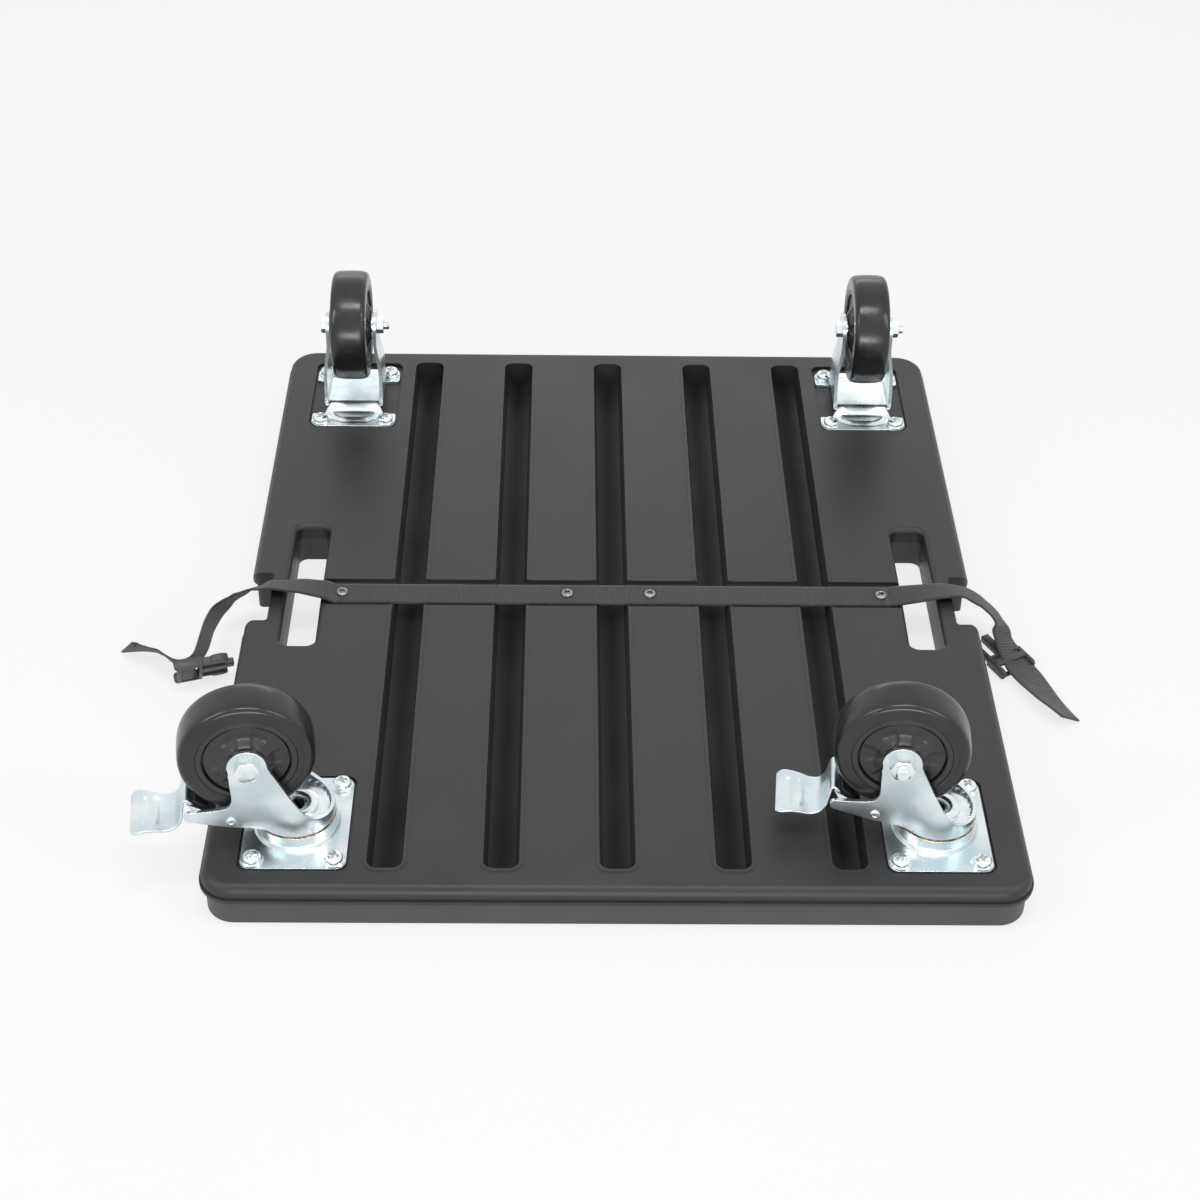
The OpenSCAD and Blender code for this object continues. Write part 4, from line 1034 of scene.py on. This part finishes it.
for side, word in SIDES:
    place, body, fork = in_fork(side), f"swivel_{word}", [f"fork_{word}"]
    head = spun(bmesh.new(), HEAD_FLOOR, 96)
    piece(f"fork_head_{word}", placed(head, place), *ZINC, body, fork)
    wall = piece(f"pressed_fork_{word}", placed(fork_wall(), place), *ZINC, body, fork, 60)
    pressed_sheet(wall)

# %% [markdown]
# ## Rigid brackets
# The rigid bracket is pressed from one sheet. Its foot is a flat plate whose middle is
# raised in a smooth tongue between the screws, so its blank becomes a height map.
# Each leg is a grid of its own that starts flat on the tongue and follows its height,
# bends up through a round fold, steps in towards the wheel and ends in a round top.
# Both get the sheet's 3 mm.

# %% Foot and legs of a rigid bracket
FOOT_MID, TONGUE_RISE, TONGUE_HALF, TONGUE_TAPER = -1.5, 8.5, 23.5, 5.5
TONGUE_FRONT, TONGUE_BULGE, STEP_FROM, STEP_LONG, STEP_FALL = 37.5, 5, 20.5, 7.5, 6.4
LEG_Z, LEG_FLARE, LEG_OUT, LEG_STEP, FOLD_R = 7.1, 10, 25.6, 4.1, 4.2
WAIST =[(19.5, 20), (19.5, 22.4), (24.6, 23.6), (26.6, 26), (28.5, 27.2), (31, 27.6),
    (37, 27.6), (38.6, 28.2), (39, 30)]
LEG_TOP = (8, 18, 28, 38, 48, 58, 67, 75, 81, 86, 89)


def foot_height(x, y):
    x, y = abs(x), abs(y)
    front = TONGUE_FRONT + TONGUE_BULGE * math.sqrt(max(0, 1 - (x / 16) ** 2))
    ramp = TONGUE_RISE - STEP_FALL * min(1, max(0, (y - STEP_FROM) / STEP_LONG))
    side = TONGUE_HALF - TONGUE_TAPER * smooth((y - 25) / 8)
    return FOOT_MID + ramp * smooth((front - y) / 3.5) * (1 - smooth((x - side) / 3))


def leg_half(z):
    if z > AXLE_Z:
        return math.sqrt(max(0, EYE_R ** 2 - (z - AXLE_Z) ** 2))
    return EYE_R + LEG_FLARE * (1 - max(0, z - 5) / (AXLE_Z - 5)) ** 1.6


def bracket_foot():
    quarter = WAIST + arc(31, 40.5, 8, 0, 90, 6)
    half = quarter + [(-x, y) for x, y in reversed(quarter)]
    bm = grid_of(half + [(-x, -y) for x, y in half], 2, 2)
    for vert in bm.verts:
        x, y = vert.co.x / mm, vert.co.z / mm
        vert.co = (x * mm, y * mm, foot_height(x, y) * mm)
    bmesh.ops.recalc_face_normals(bm, faces=bm.faces)
    return bm


def bracket_leg(side):
    turns = [math.radians(a) for a in range(0, 91, 15)]
    fold = [(21.4 + FOLD_R * math.sin(a), 11.2 - FOLD_R * math.cos(a)) for a in turns]
    up = [(LEG_OUT - LEG_STEP * smooth((z - 34) / 34), z) for z in range(15, 80, 4)]
    top = [(21.5, AXLE_Z + EYE_R * math.sin(math.radians(a))) for a in LEG_TOP]
    path = [(14, 7), (18, 7.05), *fold, *up, *top]
    rows = len(path) - 1
    bm = bmesh.new()
    bmesh.ops.create_grid(bm, x_segments=rows, y_segments=24, size=1)
    for vert in bm.verts:
        x, z = path[round((vert.co.x + 1) / 2 * rows)]
        y = vert.co.y * leg_half(z)
        sunk = LEG_Z - foot_height(min(x, 18), y)
        z -= sunk * (1 - smooth((z - 7) / 10))
        vert.co = (side * x * mm, y * mm, z * mm)
    bmesh.ops.recalc_face_normals(bm, faces=bm.faces)
    return bm


for side, word in SIDES:
    place, bracket = at(side * CASTER_X, RIGID_Y, DECK_TOP), [f"rear_bracket_{word}"]
    forms = (("foot", "", bracket_foot()), ("leg", "_1", bracket_leg(-1)),
        ("leg", "_2", bracket_leg(1)))
    for part, number, form in forms:
        name = f"bracket_{part}_{word}{number}"
        pressed_sheet(piece(name, placed(form, place), *ZINC, "platform", bracket, 60))

# %% [markdown]
# ## Brakes
# The pedal is one stamping: a wavy tab with two ribs pressed up across it and a bent
# neck. A grid follows its side view, narrows at the neck, rises at the ribs and gets its
# 2 mm from Solidify. Two ears carry it on the pin.

# %% Brake pedals, pins and blocks
PIN_X, PIN_Z, EAR_R, EAR_IN, EAR_OUT = 47.4, 28, 6.5, 16.6, 19.2
PEDAL_T, NECK_X, TAB_END_X, TAB_CORNER_R = 2, 81, 114, 7
PEDAL_RIBS, RIB_RISE, RIB_HALF, RIB_REACH = (102.5, 111), 0.9, 1.7, 13
PEDAL_LINE = [(58, 27.5), (64, 30), (71, 36), (77, 45.5), (80.5, 45), (82, 38), (83.5, 30.5),
    (86.5, 25), (90.5, 22.3), (96, 21.7), (103, 23.6), (110, 24.7), (116, 24.2), (120.5, 22.2)]
EAR_EDGE = [(52, 21.4), (58, 23), (66, 27.6), (72, 33), (78.5, 45.5), (74, 43), (66, 37.8),
    (58, 34.6)]
PIN_END = [(3, 0), (3.7, 0), (3.75, 0.5), (3.3, 1.3), (1.9, 1.4), (1.5, 0.9), (0.01, 0.7)]


def pedal_half(x):
    if x < NECK_X:
        return EAR_IN
    half = EAR_IN + 1.9 * min(1, (x - NECK_X) / 3) + 4.5 * max(0, x - NECK_X - 3) / 30
    corner = math.sqrt(max(0, TAB_CORNER_R ** 2 - max(0, x - TAB_END_X) ** 2))
    return half - TAB_CORNER_R + corner


def pedal_sheet():
    line = smooth_route([(x, 0, z) for x, z in PEDAL_LINE], 7)
    rows = len(line) - 1
    bm = bmesh.new()
    bmesh.ops.create_grid(bm, x_segments=rows, y_segments=30, size=1)
    for vert in bm.verts:
        i = round((vert.co.x + 1) / 2 * rows)
        along = (line[min(i + 1, rows)] - line[max(i - 1, 0)]).normalized()
        up = Vector((-along.z, 0, along.x))
        y = vert.co.y * pedal_half(line[i].x)
        press = sum(RIB_RISE * math.exp(-((line[i].x - x) / RIB_HALF) ** 4) for x in PEDAL_RIBS)
        press *= 1 / (1 + math.exp((abs(y) - RIB_REACH) / 0.7))
        vert.co = (line[i] + up * press + Vector((0, y, 0))) * mm
    bmesh.ops.recalc_face_normals(bm, faces=bm.faces)
    return bm


def pedal_ears():
    bm = bmesh.new()
    outline = [circle_point(PIN_X, PIN_Z, EAR_R, a) for a in range(75, 286, 15)] + EAR_EDGE
    for side in (-1, 1):
        soften(bm, tipped(bm, outline_plate(bm, outline, side * EAR_IN, side * EAR_OUT)), 0.5)
    return bm


def pin_form(half):
    end = [(r, half + z) for r, z in PIN_END]
    return spun(bmesh.new(), [(r, -z) for r, z in reversed(end)] + end, 28, closed=False)


for side, word in SIDES:
    place, brake, pedal = in_fork(side), f"brake_{word}", [f"brake_pedal_{word}"]
    sheet = piece(f"pedal_tab_{word}", placed(pedal_sheet(), place), *ZINC, brake, pedal, 50)
    pressed_sheet(sheet, PEDAL_T, 30, False)
    piece(f"pedal_ears_{word}", placed(pedal_ears(), place), *ZINC, brake, pedal)
    pin = placed(pin_form(LEG_Y + SHEET), place @ at(PIN_X, 0, PIN_Z) @ turned(90, "X"))
    piece(f"rivet_pin_{word}", pin, *TURNED, f"swivel_{word}", [f"brake_pin_{word}"])
    softened(f"brake_shoe_{word}", f"brake_block_{word}", shoe_rubber, "shoe_rubber", brake,
        SHOE_EDGE)

# %% [markdown]
# ## What stays from the CAD
# Inserts, sleeves, bearings and balls are seen only in gaps. Their CAD solids stay and
# take the metal that each is made of.

# %% Finishes on the CAD solids that stay
for node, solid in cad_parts.items():
    if node.startswith("swivel_balls"):
        metal = ball_steel
    elif node.startswith(("caster_inserts", "fork_sleeve", "rear_sleeves", "bearings")):
        metal = screw_zinc
    else:
        continue
    for holder in solid.material_slots:
        holder.material = metal
    print(node, "is", metal.name)
